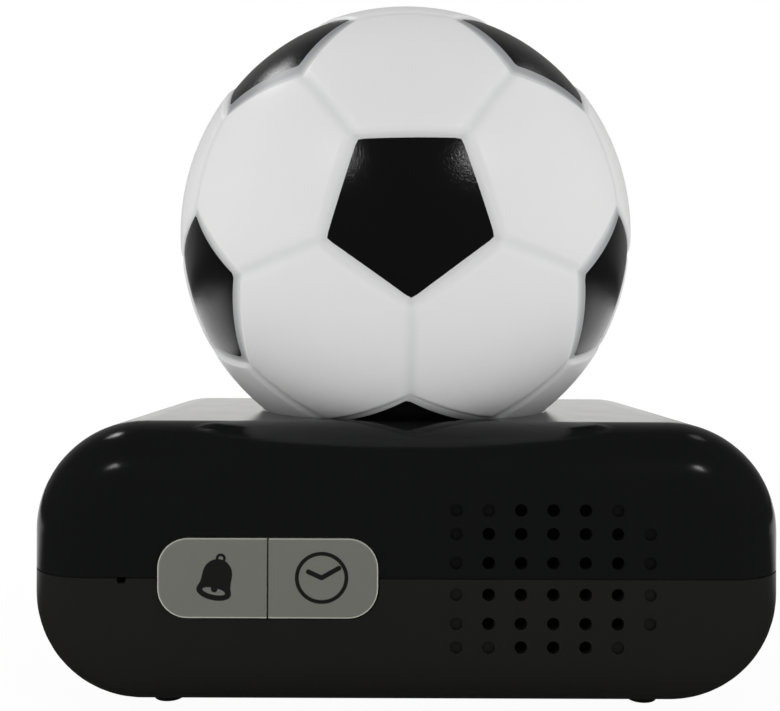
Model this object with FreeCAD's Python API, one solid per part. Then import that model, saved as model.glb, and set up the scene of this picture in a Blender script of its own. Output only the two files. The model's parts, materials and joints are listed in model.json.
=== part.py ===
import FreeCAD, Part
import itertools
import math
import os

"""Runaway alarm clock: a football with its own drive, docked in the dish of a glossy base.

Frame: origin on the standing surface under the middle of the base, +Z up, and the side with
the two keys and the speaker grille facing -Y. Lengths are in millimetres.
"""

Vector = FreeCAD.Vector
X_AXIS = Vector(1, 0, 0)
Y_AXIS = Vector(0, 1, 0)
Z_AXIS = Vector(0, 0, 1)

# Case of the base
BASE_WIDTH = 136.0
BASE_DEPTH = 87.0
BASE_HEIGHT = 50.8
FOOT_HEIGHT = 1.8
CASE_WALL = 2.2
UPPER_CORNER = 19.4
LOWER_CORNER = 20.2
FACE_ROUND = 12.0
PARTING_RISE = 24.5
REVEAL = 0.3
NOTCH_X = -49.7
NOTCH_WIDTH = 1.8
NOTCH_TIP_WIDTH = 1.2
NOTCH_HEIGHT = 1.0

# Football
BALL_DIAMETER = 96.0
BALL_SINK = 10.7
SHELL_THICKNESS = 2.0
HEXAGON_RISE = 0.7
PENTAGON_RISE = 0.3
PANEL_GROOVE = 1.3
PENTAGON_MARGIN = 1.25
PAD_ROOT = 0.2
AXLE_BOSS_RADIUS = 5.0
AXLE_BOSS_GAP = 1.4
JOIN_RING_HEIGHT = 8.0
JOIN_RING_WALL = 1.4
NEIGHBOUR_ANGLE = 70.0
WEDGE_REACH = 1.4

# Clearances
DISH_CLEARANCE = 0.35
RUNNING_CLEARANCE = 0.04
PRESS_CLEARANCE = 0.02
GUIDE_CLEARANCE = 0.08
PART_GAP = 0.3
KEY_GAP = 0.25
SCREW_CLEARANCE = 0.05
CUT_OVERRUN = 1.0
TOUCH = 0.01

# Dish and dock switch
DISH_WALL = 2.0
PLUNGER_RADIUS = 1.5
PLUNGER_ROUND = 0.75
PLUNGER_FLANGE_RADIUS = 2.6
PLUNGER_FLANGE_THICKNESS = 1.0
PLUNGER_LIFT = 1.3
PLUNGER_OVERTRAVEL = 0.5
GUIDE_RADIUS = 3.5
GUIDE_LENGTH = 3.0
DOCK_SWITCH_LENGTH = 12.8
DOCK_SWITCH_WIDTH = 5.8
DOCK_SWITCH_HEIGHT = 5.5
DOCK_BUTTON_RADIUS = 0.95
DOCK_BUTTON_RISE = 1.2
DOCK_POST_X = 14.0
DOCK_POST_RADIUS = 2.5
BRACKET_THICKNESS = 1.2
BRACKET_DEPTH = 10.0

# Keys and their board
KEY_X = -24.2
KEY_PAIR_WIDTH = 38.3
KEY_HEIGHT = 13.8
KEY_CORNER = 5.2
KEY_SPLIT = 0.35
KEY_PROUD = 0.6
KEY_EDGE_ROUND = 0.5
KEY_FLANGE = 1.4
KEY_FLANGE_THICKNESS = 1.2
KEY_POST_RADIUS = 2.0
KEY_POST_LENGTH = 1.2
KEY_TRAVEL = 0.5
SWITCH_SIZE = 6.0
SWITCH_HEIGHT = 3.5
SWITCH_STEM_RADIUS = 1.7
SWITCH_STEM_RISE = 1.5
SWITCH_STEM_DEPTH = 2.0
KEY_BOARD_THICKNESS = 1.2
KEY_BOARD_WIDTH = 39.0
KEY_BOARD_DROP = 14.5
KEY_BOARD_RISE = 7.0
KEY_BOARD_POST_SPREAD = 12.0
KEY_BOARD_POST_DROP = 11.6
BOARD_POST_RADIUS = 2.2

# Speaker grille: seven columns, and rows at these distances either side of the parting plane
GRILLE_X = 25.4
GRILLE_COLUMNS = 7
GRILLE_PITCH = 5.62
GRILLE_ROWS = (2.75, 7.8, 11.9)
GRILLE_HOLE_RADIUS = 1.1
GRILLE_OPEN_RADIUS = 15.0
GRILLE_DIMPLE_DEPTH = 0.6

# Speaker
SPEAKER_DIAMETER = 36.0
SPEAKER_FLANGE = 1.2
SPEAKER_RING_INNER = 15.2
SPEAKER_RING_WALL = 1.4
SPEAKER_STANDOFF = 2.5
BASKET_FRONT_RADIUS = 16.4
BASKET_BACK_RADIUS = 12.0
BASKET_DEPTH = 8.2
BASKET_WALL = 1.0
BASKET_NECK_GAP = 1.2
MAGNET_RADIUS = 11.0
MAGNET_THICKNESS = 5.5
MAGNET_CHAMFER = 0.6
POLE_RADIUS = 5.0
POLE_LENGTH = 2.4
CONE_DEPTH = 4.2
CONE_CAP_RADIUS = 6.0
CONE_CAP_RISE = 2.1
CONE_CAP_STEPS = 4
CONE_THICKNESS = 0.5
SPEAKER_SCREW_ANGLE = 45.0

# Display on the rear wall
LENS_WIDTH = 64.0
LENS_HEIGHT = 24.5
LENS_CORNER = 4.0
LENS_THICKNESS = 1.2
LENS_GAP = 0.1
WINDOW_BORDER = 3.0
LCD_WIDTH = 60.0
LCD_HEIGHT = 20.6
LCD_THICKNESS = 2.2
BACKLIGHT_THICKNESS = 2.6
LCD_FRAME_BORDER = 1.6
LCD_EAR_WIDTH = 7.0
LCD_EAR_HEIGHT = 8.0
LCD_EAR_THICKNESS = 1.6
LCD_EAR_DROP = 6.5
RIBBON_WIDTH = 26.0
RIBBON_THICKNESS = 0.2
RIBBON_BEND = 1.8
RIBBON_OVERLAP = 5.0
RIBBON_RISE = 8.0

# Main board
MAIN_BOARD_WIDTH = 76.0
MAIN_BOARD_FRONT = -21.0
MAIN_BOARD_REAR = 27.0
MAIN_BOARD_THICKNESS = 1.6
MAIN_BOARD_POST_INSET = 4.0
BOARD_OVER_BAY = 2.0
CLOCK_CHIP_LENGTH = 12.0
CLOCK_CHIP_WIDTH = 10.0
CLOCK_CHIP_HEIGHT = 1.8
CLOCK_CHIP_X = -22.0
RADIO_CHIP_LENGTH = 8.0
RADIO_CHIP_WIDTH = 6.0
RADIO_CHIP_HEIGHT = 1.5
POWER_CHIP_LENGTH = 6.0
POWER_CHIP_WIDTH = 4.0
POWER_CHIP_HEIGHT = 1.5
SIDE_CHIP_X = 20.0
SIDE_CHIP_SPREAD = 7.0
CAPACITOR_RADIUS = 2.5
CAPACITOR_HEIGHT = 4.0
CAPACITOR_X = (-6.0, 2.0)
CAPACITOR_SETBACK = 14.0

# Battery bay: three cells side by side, lying along X
CELL_RADIUS = 5.25
CELL_LENGTH = 44.5
CELL_NUB_RADIUS = 1.9
CELL_NUB_LENGTH = 1.0
BASE_CELLS = 3
CELL_SPACING = 0.3
BAY_SIDE_GAP = 0.8
BAY_END_GAP = 2.25
BAY_CENTRE_Y = 3.0
BAY_WALL = 1.4
DOOR_THICKNESS = 1.8
DOOR_GAP = 0.25
DOOR_CELL_GAP = 0.35
TAB_WIDTH = 6.0
TAB_X = 14.0
TAB_REACH = 1.8
TAB_THICKNESS = 1.0
TAB_ROOT = 0.9
GRIP_WIDTH = 12.0
GRIP_DEPTH = 0.8
CONTACT_SIZE = 8.0
CONTACT_THICKNESS = 0.4
CONTACT_BUMP_RADIUS = 2.6
CONTACT_TIP_RADIUS = 1.2
BALL_CONTACT_SIZE = 7.2

# Screws and bosses of the case
BOSS_INSET_X = 14.0
BOSS_INSET_Y = 14.5
LOWER_BOSS_RADIUS = 4.6
UPPER_BOSS_RADIUS = 3.4
CASE_SCREW_RADIUS = 1.3
CASE_SCREW_HEAD_RADIUS = 2.8
CASE_SCREW_HEAD_HEIGHT = 1.8
CASE_SCREW_RECESS = 8.0
CASE_SCREW_BITE = 9.0
RECESS_CLEARANCE = 0.35
SMALL_SCREW_RADIUS = 0.95
SMALL_SCREW_HEAD_RADIUS = 2.0
SMALL_SCREW_HEAD_HEIGHT = 1.2
SMALL_SCREW_BITE = 4.0
SPEAKER_SCREW_HEAD_RADIUS = 3.2
SPEAKER_SCREW_BITE = 3.0

# Feet
FOOT_RADIUS = 2.9
FOOT_ROUND = 0.6
FOOT_INSET_X = 23.4
FOOT_INSET_Y = 15.1
FOOT_STEM_RADIUS = 2.0
FOOT_STEM_LENGTH = 1.4

# Drive unit in the ball
AXLE_RADIUS = 2.0
AXLE_END_GAP = 0.3
AXLE_END_WALL = 1.0
DRIVE_CLEARANCE = 1.2
PLATE_THICKNESS = 2.0
PLATE_EYE_RADIUS = 7.0
TRAY_WALL = 1.8
CELL_SEAT_GAP = 0.15
CELL_MOTOR_GAP = 2.35
CRADLE_WALL = 1.0
CRADLE_GAP = 0.8
CRADLE_HEIGHT = 11.0
LIP_GAP = 0.25
LIP_WALL = 1.2
LIP_SEAT = 0.3
LIP_HEIGHT = 8.5
BUSH_RADIUS = 4.0
BUSH_FLANGE_RADIUS = 5.0
BUSH_FLANGE_THICKNESS = 0.8
COLLAR_RADIUS = 4.5
COLLAR_LENGTH = 2.5
AXIAL_GAP = 0.2
MOTOR_RADIUS = 10.0
MOTOR_HALF_FLAT = 7.5
MOTOR_LENGTH = 25.0
MOTOR_NOSE_RADIUS = 3.0
MOTOR_NOSE_LENGTH = 1.6
MOTOR_SHAFT_RADIUS = 1.0
MOTOR_TAIL = 1.2
MOTOR_SCREW_X = 6.5
MOTOR_FLOOR_GAP = 1.5
RECEIVER_WIDTH = 24.0
RECEIVER_THICKNESS = 1.2
RECEIVER_MOTOR_GAP = 1.5
RECEIVER_CHIP_LENGTH = 8.0
RECEIVER_CHIP_WIDTH = 10.0
RECEIVER_CHIP_HEIGHT = 1.5
RECEIVER_CAN_RADIUS = 2.0
RECEIVER_CAN_HEIGHT = 4.0
RECEIVER_CAN_X = 7.5
RECEIVER_CAN_Y = 10.0
AERIAL_COIL_RADIUS = 4.0
AERIAL_COIL_BORE = 2.0
AERIAL_COIL_HEIGHT = 3.0
AERIAL_COIL_Y = -14.0
LEDGE_WIDTH = 12.0
LEDGE_DEPTH = 2.0
LEDGE_THICKNESS = 1.6
BALLAST_THICKNESS = 4.0
BALLAST_HALF_ANGLE = 32.0
BALLAST_LENGTH = 22.0
BALLAST_GAP = 0.05
BALLAST_SCREW_ANGLE = 22.0

# Gears
SUN_TEETH = 34
IDLER_SMALL_TEETH = 14
IDLER_LARGE_TEETH = 32
PINION_TEETH = 12
SLOW_TO_FAST_MODULE = 1.2
PRESSURE_ANGLE = 25.0
ADDENDUM = 0.85
DEDENDUM = 1.15
BACKLASH = 0.12
SLOW_FACE = 3.0
FAST_FACE = 2.0
IDLER_PIN_RADIUS = 1.5
CLIP_RADIUS = 3.0
CLIP_THICKNESS = 0.6

# Planes and centres that follow from the sizes above
CASE_BOTTOM = FOOT_HEIGHT
CASE_TOP = CASE_BOTTOM + BASE_HEIGHT
PARTING_Z = CASE_BOTTOM + PARTING_RISE
FRONT_Y = -BASE_DEPTH / 2
REAR_Y = BASE_DEPTH / 2
INNER_FRONT_Y = FRONT_Y + CASE_WALL
INNER_REAR_Y = REAR_Y - CASE_WALL
FLOOR_Z = CASE_BOTTOM + CASE_WALL
BALL_RADIUS = BALL_DIAMETER / 2
BALL_CENTRE = Vector(0, 0, CASE_TOP - BALL_SINK + BALL_RADIUS)
DISH_RADIUS = BALL_RADIUS + DISH_CLEARANCE
DISH_BOTTOM_Z = BALL_CENTRE.z - DISH_RADIUS
GROOVE_RADIUS = BALL_RADIUS - HEXAGON_RISE
SHELL_INNER_RADIUS = GROOVE_RADIUS - SHELL_THICKNESS

# Stack behind the keys
KEY_FRONT_Y = FRONT_Y - KEY_PROUD
KEY_FLANGE_Y = INNER_FRONT_Y + PART_GAP
KEY_BACK_Y = KEY_FLANGE_Y + KEY_FLANGE_THICKNESS
STEM_FRONT_Y = KEY_BACK_Y + KEY_POST_LENGTH
SWITCH_FRONT_Y = STEM_FRONT_Y + SWITCH_STEM_RISE
KEY_BOARD_Y = SWITCH_FRONT_Y + SWITCH_HEIGHT

# Stack behind the grille
SPEAKER_Y = INNER_FRONT_Y + SPEAKER_STANDOFF
SPEAKER_RADIUS = SPEAKER_DIAMETER / 2

# Boxes of the dock switch and the chips
DOCK_SWITCH_SIZE = Vector(DOCK_SWITCH_LENGTH, DOCK_SWITCH_WIDTH, DOCK_SWITCH_HEIGHT)
CLOCK_CHIP_SIZE = Vector(CLOCK_CHIP_LENGTH, CLOCK_CHIP_WIDTH, CLOCK_CHIP_HEIGHT)
RADIO_CHIP_SIZE = Vector(RADIO_CHIP_LENGTH, RADIO_CHIP_WIDTH, RADIO_CHIP_HEIGHT)
POWER_CHIP_SIZE = Vector(POWER_CHIP_LENGTH, POWER_CHIP_WIDTH, POWER_CHIP_HEIGHT)
RECEIVER_CHIP_SIZE = Vector(RECEIVER_CHIP_LENGTH, RECEIVER_CHIP_WIDTH, RECEIVER_CHIP_HEIGHT)

# Stack under the dish
PLUNGER_TOP_Z = DISH_BOTTOM_Z + DISH_CLEARANCE / 3
GUIDE_BOTTOM_Z = DISH_BOTTOM_Z - DISH_WALL - GUIDE_LENGTH
FLANGE_TOP_Z = GUIDE_BOTTOM_Z - PLUNGER_LIFT
PLUNGER_BOTTOM_Z = FLANGE_TOP_Z - PLUNGER_FLANGE_THICKNESS
DOCK_SWITCH_TOP_Z = PLUNGER_BOTTOM_Z - DOCK_BUTTON_RISE
BRACKET_TOP_Z = DOCK_SWITCH_TOP_Z - DOCK_SWITCH_SIZE.z
BRACKET_BOTTOM_Z = BRACKET_TOP_Z - BRACKET_THICKNESS

# Battery bay
BAY_HALF_X = CELL_LENGTH / 2 + BAY_END_GAP
BAY_DEPTH = BASE_CELLS * 2 * CELL_RADIUS + (BASE_CELLS - 1) * CELL_SPACING + 2 * BAY_SIDE_GAP
BAY_FRONT_Y = BAY_CENTRE_Y - BAY_DEPTH / 2
BAY_REAR_Y = BAY_CENTRE_Y + BAY_DEPTH / 2
CELL_BOTTOM_Z = CASE_BOTTOM + DOOR_THICKNESS + DOOR_CELL_GAP
BAY_ROOF_Z = CELL_BOTTOM_Z + 2 * CELL_RADIUS + PART_GAP
BAY_TOP_Z = BAY_ROOF_Z + BAY_WALL
MAIN_BOARD_Z = BAY_TOP_Z + BOARD_OVER_BAY

# Display stack
LCD_BACK_Y = INNER_REAR_Y - LENS_GAP - LCD_THICKNESS
BACKLIGHT_BACK_Y = LCD_BACK_Y - BACKLIGHT_THICKNESS
LCD_FRAME_BACK_Y = BACKLIGHT_BACK_Y - LENS_GAP

# Drive unit, measured from the ball's centre
PLATE_SPAN = CELL_LENGTH + 2 * (LIP_GAP + CONTACT_THICKNESS + PART_GAP)
PLATE_INNER_Y = PLATE_SPAN / 2
PLATE_OUTER_Y = PLATE_INNER_Y + PLATE_THICKNESS
TRAY_RADIUS = math.sqrt((SHELL_INNER_RADIUS - DRIVE_CLEARANCE) ** 2 - PLATE_OUTER_Y ** 2)
TRAY_INNER_RADIUS = TRAY_RADIUS - TRAY_WALL
MOTOR_Z = -(TRAY_INNER_RADIUS - MOTOR_FLOOR_GAP - MOTOR_HALF_FLAT)
RECEIVER_Z = MOTOR_Z + MOTOR_HALF_FLAT + RECEIVER_MOTOR_GAP + LEDGE_THICKNESS
CRADLE_X = MOTOR_RADIUS + CRADLE_GAP

# Gears: both centre distances together reach from the axle to the motor
SLOW_TEETH = SUN_TEETH + IDLER_SMALL_TEETH
FAST_TEETH = IDLER_LARGE_TEETH + PINION_TEETH
FAST_MODULE = -2 * MOTOR_Z / (SLOW_TO_FAST_MODULE * SLOW_TEETH + FAST_TEETH)
SLOW_MODULE = SLOW_TO_FAST_MODULE * FAST_MODULE
SLOW_DISTANCE = SLOW_TEETH * SLOW_MODULE / 2
IDLER_Z = -SLOW_DISTANCE
SLOW_GEAR_Y = PLATE_OUTER_Y + BUSH_FLANGE_THICKNESS + AXIAL_GAP
FAST_GEAR_Y = SLOW_GEAR_Y + SLOW_FACE + PART_GAP
CLIP_Y = FAST_GEAR_Y + FAST_FACE + PART_GAP
AXLE_BOSS_Y = CLIP_Y + CLIP_THICKNESS + AXIAL_GAP + AXLE_BOSS_GAP
AXLE_HALF_LENGTH = SHELL_INNER_RADIUS - AXLE_END_GAP - AXLE_END_WALL

# Cells of the drive unit: on the tray, either side of the motor
BALL_CELL_DISTANCE = TRAY_INNER_RADIUS - CELL_SEAT_GAP - CELL_RADIUS
CELL_TO_MOTOR = MOTOR_RADIUS + CELL_RADIUS + CELL_MOTOR_GAP
CELL_ANGLE_COSINE = (BALL_CELL_DISTANCE ** 2 + MOTOR_Z ** 2 - CELL_TO_MOTOR ** 2) / (
    -2 * BALL_CELL_DISTANCE * MOTOR_Z
)
BALL_CELL_Z = -BALL_CELL_DISTANCE * CELL_ANGLE_COSINE
BALL_CELL_X = BALL_CELL_DISTANCE * math.sqrt(1 - CELL_ANGLE_COSINE ** 2)
LIP_X = BALL_CELL_X + CELL_RADIUS + LIP_GAP
TRAY_HALF_ANGLE = math.degrees(math.asin((LIP_X + LIP_SEAT) / TRAY_RADIUS))


def block(low, high):
    """Return a box between two opposite corners."""
    size = high - low
    return Part.makeBox(size.x, size.y, size.z, low)


def rod(start, axis, radius, length):
    """Return a round bar that starts at a point and runs along an axis."""
    return Part.makeCylinder(radius, length, start, axis)


def tube(start, axis, outer, inner, length):
    """Return a round tube."""
    return rod(start, axis, outer, length).cut(rod(start, axis, inner, length))


def mirrored_pair(x, y_values):
    """Return the points at +x and -x for each y."""
    return [(side * x, y) for side in (-1, 1) for y in y_values]


def arc_edge(centre, radius, start_deg, end_deg, y):
    """Return an arc in an XZ plane at a given y."""
    points = []
    for angle in (start_deg, (start_deg + end_deg) / 2, end_deg):
        turn = math.radians(angle)
        points.append(Vector(centre[0] + radius * math.cos(turn), y, centre[1] + radius * math.sin(turn)))
    return Part.Arc(*points).toShape()


def line_edge(start, end, y):
    """Return a straight edge in an XZ plane at a given y."""
    return Part.LineSegment(Vector(start[0], y, start[1]), Vector(end[0], y, end[1])).toShape()


def rounded_outline(low, high, low_radius, high_radius, y):
    """Return a rectangle in XZ whose lower and upper corners are rounded."""
    x0, z0 = low
    x1, z1 = high
    edges = [
        line_edge((x0 + low_radius, z0), (x1 - low_radius, z0), y),
        arc_edge((x1 - low_radius, z0 + low_radius), low_radius, -90, 0, y),
        line_edge((x1, z0 + low_radius), (x1, z1 - high_radius), y),
        arc_edge((x1 - high_radius, z1 - high_radius), high_radius, 0, 90, y),
        line_edge((x1 - high_radius, z1), (x0 + high_radius, z1), y),
        arc_edge((x0 + high_radius, z1 - high_radius), high_radius, 90, 180, y),
        line_edge((x0, z1 - high_radius), (x0, z0 + low_radius), y),
        arc_edge((x0 + low_radius, z0 + low_radius), low_radius, 180, 270, y),
    ]
    return Part.Wire(edges)


def rounded_plate(centre, width, height, corner, y0, y1):
    """Return a plate that stands in XZ, with rounded corners, from y0 to y1."""
    low = (centre[0] - width / 2, centre[1] - height / 2)
    high = (centre[0] + width / 2, centre[1] + height / 2)
    wire = rounded_outline(low, high, corner, corner, y0)
    return Part.Face(wire).extrude(Vector(0, y1 - y0, 0))


def turned(points, origin, axis):
    """Return the solid swept by a profile of (radius, distance along the axis) points."""
    side = X_AXIS if abs(axis.x) < 0.5 else Y_AXIS
    corners = [origin + side * radius + axis * along for radius, along in points]
    wire = Part.makePolygon(corners + corners[:1])
    return Part.Face(wire).revolve(origin, axis, 360)


def screw(seat, axis, radius, head_radius, head_height, length):
    """Return a screw whose shank leaves the seat along an axis."""
    head = rod(seat, -axis, head_radius, head_height)
    return fused([head, rod(seat, axis, radius, length)])


def small_screw(seat, axis, length):
    """Return one of the small screws that hold boards and covers."""
    return screw(seat, axis, SMALL_SCREW_RADIUS, SMALL_SCREW_HEAD_RADIUS, SMALL_SCREW_HEAD_HEIGHT, length)


def fused(shapes):
    """Return several overlapping solids as one."""
    return shapes[0].fuse(shapes[1:]).removeSplitter()


def group(shapes):
    """Return separate solids as one compound."""
    return Part.makeCompound(shapes)


# ---------------------------------------------------------------- base case


def case_form(inset):
    """Return the outer form of the case, drawn in by an inset on every side."""
    low = (-BASE_WIDTH / 2 + inset, CASE_BOTTOM + inset)
    high = (BASE_WIDTH / 2 - inset, CASE_TOP - inset)
    y0 = FRONT_Y + inset
    y1 = REAR_Y - inset
    wire = rounded_outline(low, high, LOWER_CORNER - inset, UPPER_CORNER - inset, y0)
    prism = Part.Face(wire).extrude(Vector(0, y1 - y0, 0))
    rims = [edge for edge in prism.Edges if edge.BoundBox.YLength < TOUCH]
    return prism.makeFillet(FACE_ROUND - inset, rims)


def half_space(upper):
    """Return a block that covers the case above or below the parting plane."""
    reach = BASE_WIDTH
    z0 = PARTING_Z if upper else CASE_BOTTOM - reach
    z1 = CASE_TOP + reach if upper else PARTING_Z
    return block(Vector(-reach, -reach, z0), Vector(reach, reach, z1))


def reveal_groove():
    """Return the shallow groove that runs round the case at the parting plane."""
    skin = case_form(0).cut(case_form(REVEAL))
    slab = block(
        Vector(-BASE_WIDTH, -BASE_DEPTH, PARTING_Z - REVEAL / 2),
        Vector(BASE_WIDTH, BASE_DEPTH, PARTING_Z + REVEAL / 2),
    )
    return skin.common(slab)


def corner_points():
    """Return the places of the four case screws."""
    x = BASE_WIDTH / 2 - BOSS_INSET_X
    y = BASE_DEPTH / 2 - BOSS_INSET_Y
    return mirrored_pair(x, (-y, y))


def key_window():
    """Return the opening for the pair of keys."""
    return rounded_plate(
        (KEY_X, PARTING_Z),
        KEY_PAIR_WIDTH + 2 * KEY_GAP,
        KEY_HEIGHT + 2 * KEY_GAP,
        KEY_CORNER + KEY_GAP,
        FRONT_Y - CASE_WALL,
        INNER_FRONT_Y + CASE_WALL,
    )


def display_window():
    """Return the stepped opening for the display lens in the rear wall."""
    centre = (0, PARTING_Z)
    seat = rounded_plate(
        centre,
        LENS_WIDTH + 2 * LENS_GAP,
        LENS_HEIGHT + 2 * LENS_GAP,
        LENS_CORNER + LENS_GAP,
        REAR_Y - LENS_THICKNESS,
        REAR_Y + CASE_WALL,
    )
    view = rounded_plate(
        centre,
        LENS_WIDTH - 2 * WINDOW_BORDER,
        LENS_HEIGHT - 2 * WINDOW_BORDER,
        LENS_CORNER - WINDOW_BORDER / 2,
        INNER_REAR_Y - CASE_WALL,
        REAR_Y,
    )
    return seat.fuse(view)


def grille_places():
    """Return each grille hole's place and whether it goes through the wall."""
    middle = (GRILLE_COLUMNS - 1) / 2
    places = []
    for column in range(GRILLE_COLUMNS):
        for offset in GRILLE_ROWS:
            x = (column - middle) * GRILLE_PITCH
            corner = column == GRILLE_COLUMNS - 1 and offset == GRILLE_ROWS[-1]
            if corner:
                continue
            is_open = math.hypot(x, offset) < GRILLE_OPEN_RADIUS
            places.append((GRILLE_X + x, PARTING_Z + offset, is_open))
            places.append((GRILLE_X + x, PARTING_Z - offset, is_open))
    return places


def grille_holes(upper):
    """Return the open holes and blind dimples of the half above or below the parting plane."""
    holes = []
    for x, z, is_open in grille_places():
        if (z > PARTING_Z) != upper:
            continue
        depth = 2 * CASE_WALL if is_open else GRILLE_DIMPLE_DEPTH
        start = Vector(x, FRONT_Y - CASE_WALL, z)
        holes.append(rod(start, Y_AXIS, GRILLE_HOLE_RADIUS, CASE_WALL + depth))
    return holes


def speaker_ring():
    """Return the ring on the front wall that the speaker's flange seats on."""
    start = Vector(GRILLE_X, FRONT_Y + CASE_WALL / 2, PARTING_Z)
    length = SPEAKER_Y - start.y
    return tube(start, Y_AXIS, SPEAKER_RING_INNER + SPEAKER_RING_WALL, SPEAKER_RING_INNER, length)


def speaker_screw_places():
    """Return the two screw posts beside the speaker's lower edge."""
    reach = SPEAKER_RADIUS + PART_GAP + BOARD_POST_RADIUS
    turn = math.radians(SPEAKER_SCREW_ANGLE)
    z = PARTING_Z - reach * math.sin(turn)
    return [(GRILLE_X + side * reach * math.cos(turn), z) for side in (-1, 1)]


def key_board_post_places():
    """Return the two screw posts under the keys."""
    z = PARTING_Z - KEY_BOARD_POST_DROP
    return [(KEY_X + side * KEY_BOARD_POST_SPREAD, z) for side in (-1, 1)]


def lcd_post_places():
    """Return the two screw posts of the display frame."""
    x = LCD_WIDTH / 2 + LCD_FRAME_BORDER + LCD_EAR_WIDTH / 2
    return [(side * x, PARTING_Z - LCD_EAR_DROP) for side in (-1, 1)]


def main_board_post_places():
    """Return the four screw posts of the main board."""
    x = MAIN_BOARD_WIDTH / 2 - MAIN_BOARD_POST_INSET
    front = MAIN_BOARD_FRONT + MAIN_BOARD_POST_INSET
    rear = MAIN_BOARD_REAR - MAIN_BOARD_POST_INSET
    return mirrored_pair(x, (front, rear))


def upper_case():
    """Return the upper half of the case, with the dish, its posts and half of each window."""
    inside = case_form(CASE_WALL / 2)
    body = case_form(0).common(half_space(True)).cut(case_form(CASE_WALL))
    reach = CASE_TOP - PARTING_Z
    added = [rod(Vector(x, y, PARTING_Z), Z_AXIS, UPPER_BOSS_RADIUS, reach) for x, y in corner_points()]
    added.append(Part.makeSphere(DISH_RADIUS + DISH_WALL, BALL_CENTRE))
    added.append(rod(Vector(0, 0, GUIDE_BOTTOM_Z), Z_AXIS, GUIDE_RADIUS, GUIDE_LENGTH + DISH_WALL))
    for side in (-1, 1):
        start = Vector(side * DOCK_POST_X, 0, BRACKET_TOP_Z)
        added.append(rod(start, Z_AXIS, DOCK_POST_RADIUS, CASE_TOP - BRACKET_TOP_Z))
    added.append(speaker_ring())
    room = inside.common(half_space(True))
    body = fused([body] + [shape.common(room) for shape in added])
    removed = [Part.makeSphere(DISH_RADIUS, BALL_CENTRE), key_window(), display_window(), reveal_groove()]
    removed += grille_holes(True)
    pilot = CASE_SCREW_RADIUS + SCREW_CLEARANCE
    depth = CASE_SCREW_BITE + PART_GAP
    removed += [rod(Vector(x, y, PARTING_Z), Z_AXIS, pilot, depth) for x, y in corner_points()]
    removed.append(rod(Vector(0, 0, 0), Z_AXIS, PLUNGER_RADIUS + GUIDE_CLEARANCE, BALL_CENTRE.z))
    for side in (-1, 1):
        start = Vector(side * DOCK_POST_X, 0, BRACKET_TOP_Z)
        removed.append(rod(start, Z_AXIS, SMALL_SCREW_RADIUS + SCREW_CLEARANCE, SMALL_SCREW_BITE + PART_GAP))
    return body.cut(removed)


def notch():
    """Return the small tapered opening through the front wall under the parting plane."""
    y0 = FRONT_Y - CUT_OVERRUN
    z1 = PARTING_Z
    z0 = z1 - NOTCH_HEIGHT
    corners = [
        Vector(NOTCH_X - NOTCH_WIDTH / 2, y0, z1),
        Vector(NOTCH_X + NOTCH_WIDTH / 2, y0, z1),
        Vector(NOTCH_X + NOTCH_TIP_WIDTH / 2, y0, z0),
        Vector(NOTCH_X - NOTCH_TIP_WIDTH / 2, y0, z0),
    ]
    face = Part.Face(Part.makePolygon(corners + corners[:1]))
    return face.extrude(Vector(0, CASE_WALL + 2 * CUT_OVERRUN, 0))


def battery_bay():
    """Return the outside and the inside of the battery bay."""
    outer = block(
        Vector(-BAY_HALF_X - BAY_WALL, BAY_FRONT_Y - BAY_WALL, CASE_BOTTOM),
        Vector(BAY_HALF_X + BAY_WALL, BAY_REAR_Y + BAY_WALL, BAY_TOP_Z),
    )
    inner = block(
        Vector(-BAY_HALF_X, BAY_FRONT_Y, CASE_BOTTOM - CASE_WALL),
        Vector(BAY_HALF_X, BAY_REAR_Y, BAY_ROOF_Z),
    )
    return outer, inner


def tab_slots():
    """Return the slots in the bay's rear wall for the door's tabs."""
    slots = []
    rise = TAB_REACH + TAB_THICKNESS + PART_GAP
    for side in (-1, 1):
        x = side * TAB_X
        low = Vector(x - TAB_WIDTH / 2 - DOOR_GAP, BAY_REAR_Y - BAY_WALL, FLOOR_Z)
        high = Vector(x + TAB_WIDTH / 2 + DOOR_GAP, BAY_REAR_Y + 2 * BAY_WALL, FLOOR_Z + rise)
        slots.append(block(low, high))
    return slots


def finger_grip():
    """Return the scoop in the underside beside the door's free edge."""
    radius = GRIP_WIDTH / 2
    start = Vector(0, BAY_FRONT_Y, CASE_BOTTOM - CASE_WALL)
    return rod(start, Z_AXIS, radius, CASE_WALL + GRIP_DEPTH)


def floor_posts(places, top_z, radius):
    """Return posts that stand on the case floor."""
    start_z = CASE_BOTTOM + CASE_WALL / 2
    return [rod(Vector(x, y, start_z), Z_AXIS, radius, top_z - start_z) for x, y in places]


def wall_posts(places, wall_y, end_y, radius):
    """Return posts that stand out from the front or rear wall."""
    direction = Y_AXIS if end_y > wall_y else -Y_AXIS
    return [rod(Vector(x, wall_y, z), direction, radius, abs(end_y - wall_y)) for x, z in places]


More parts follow.
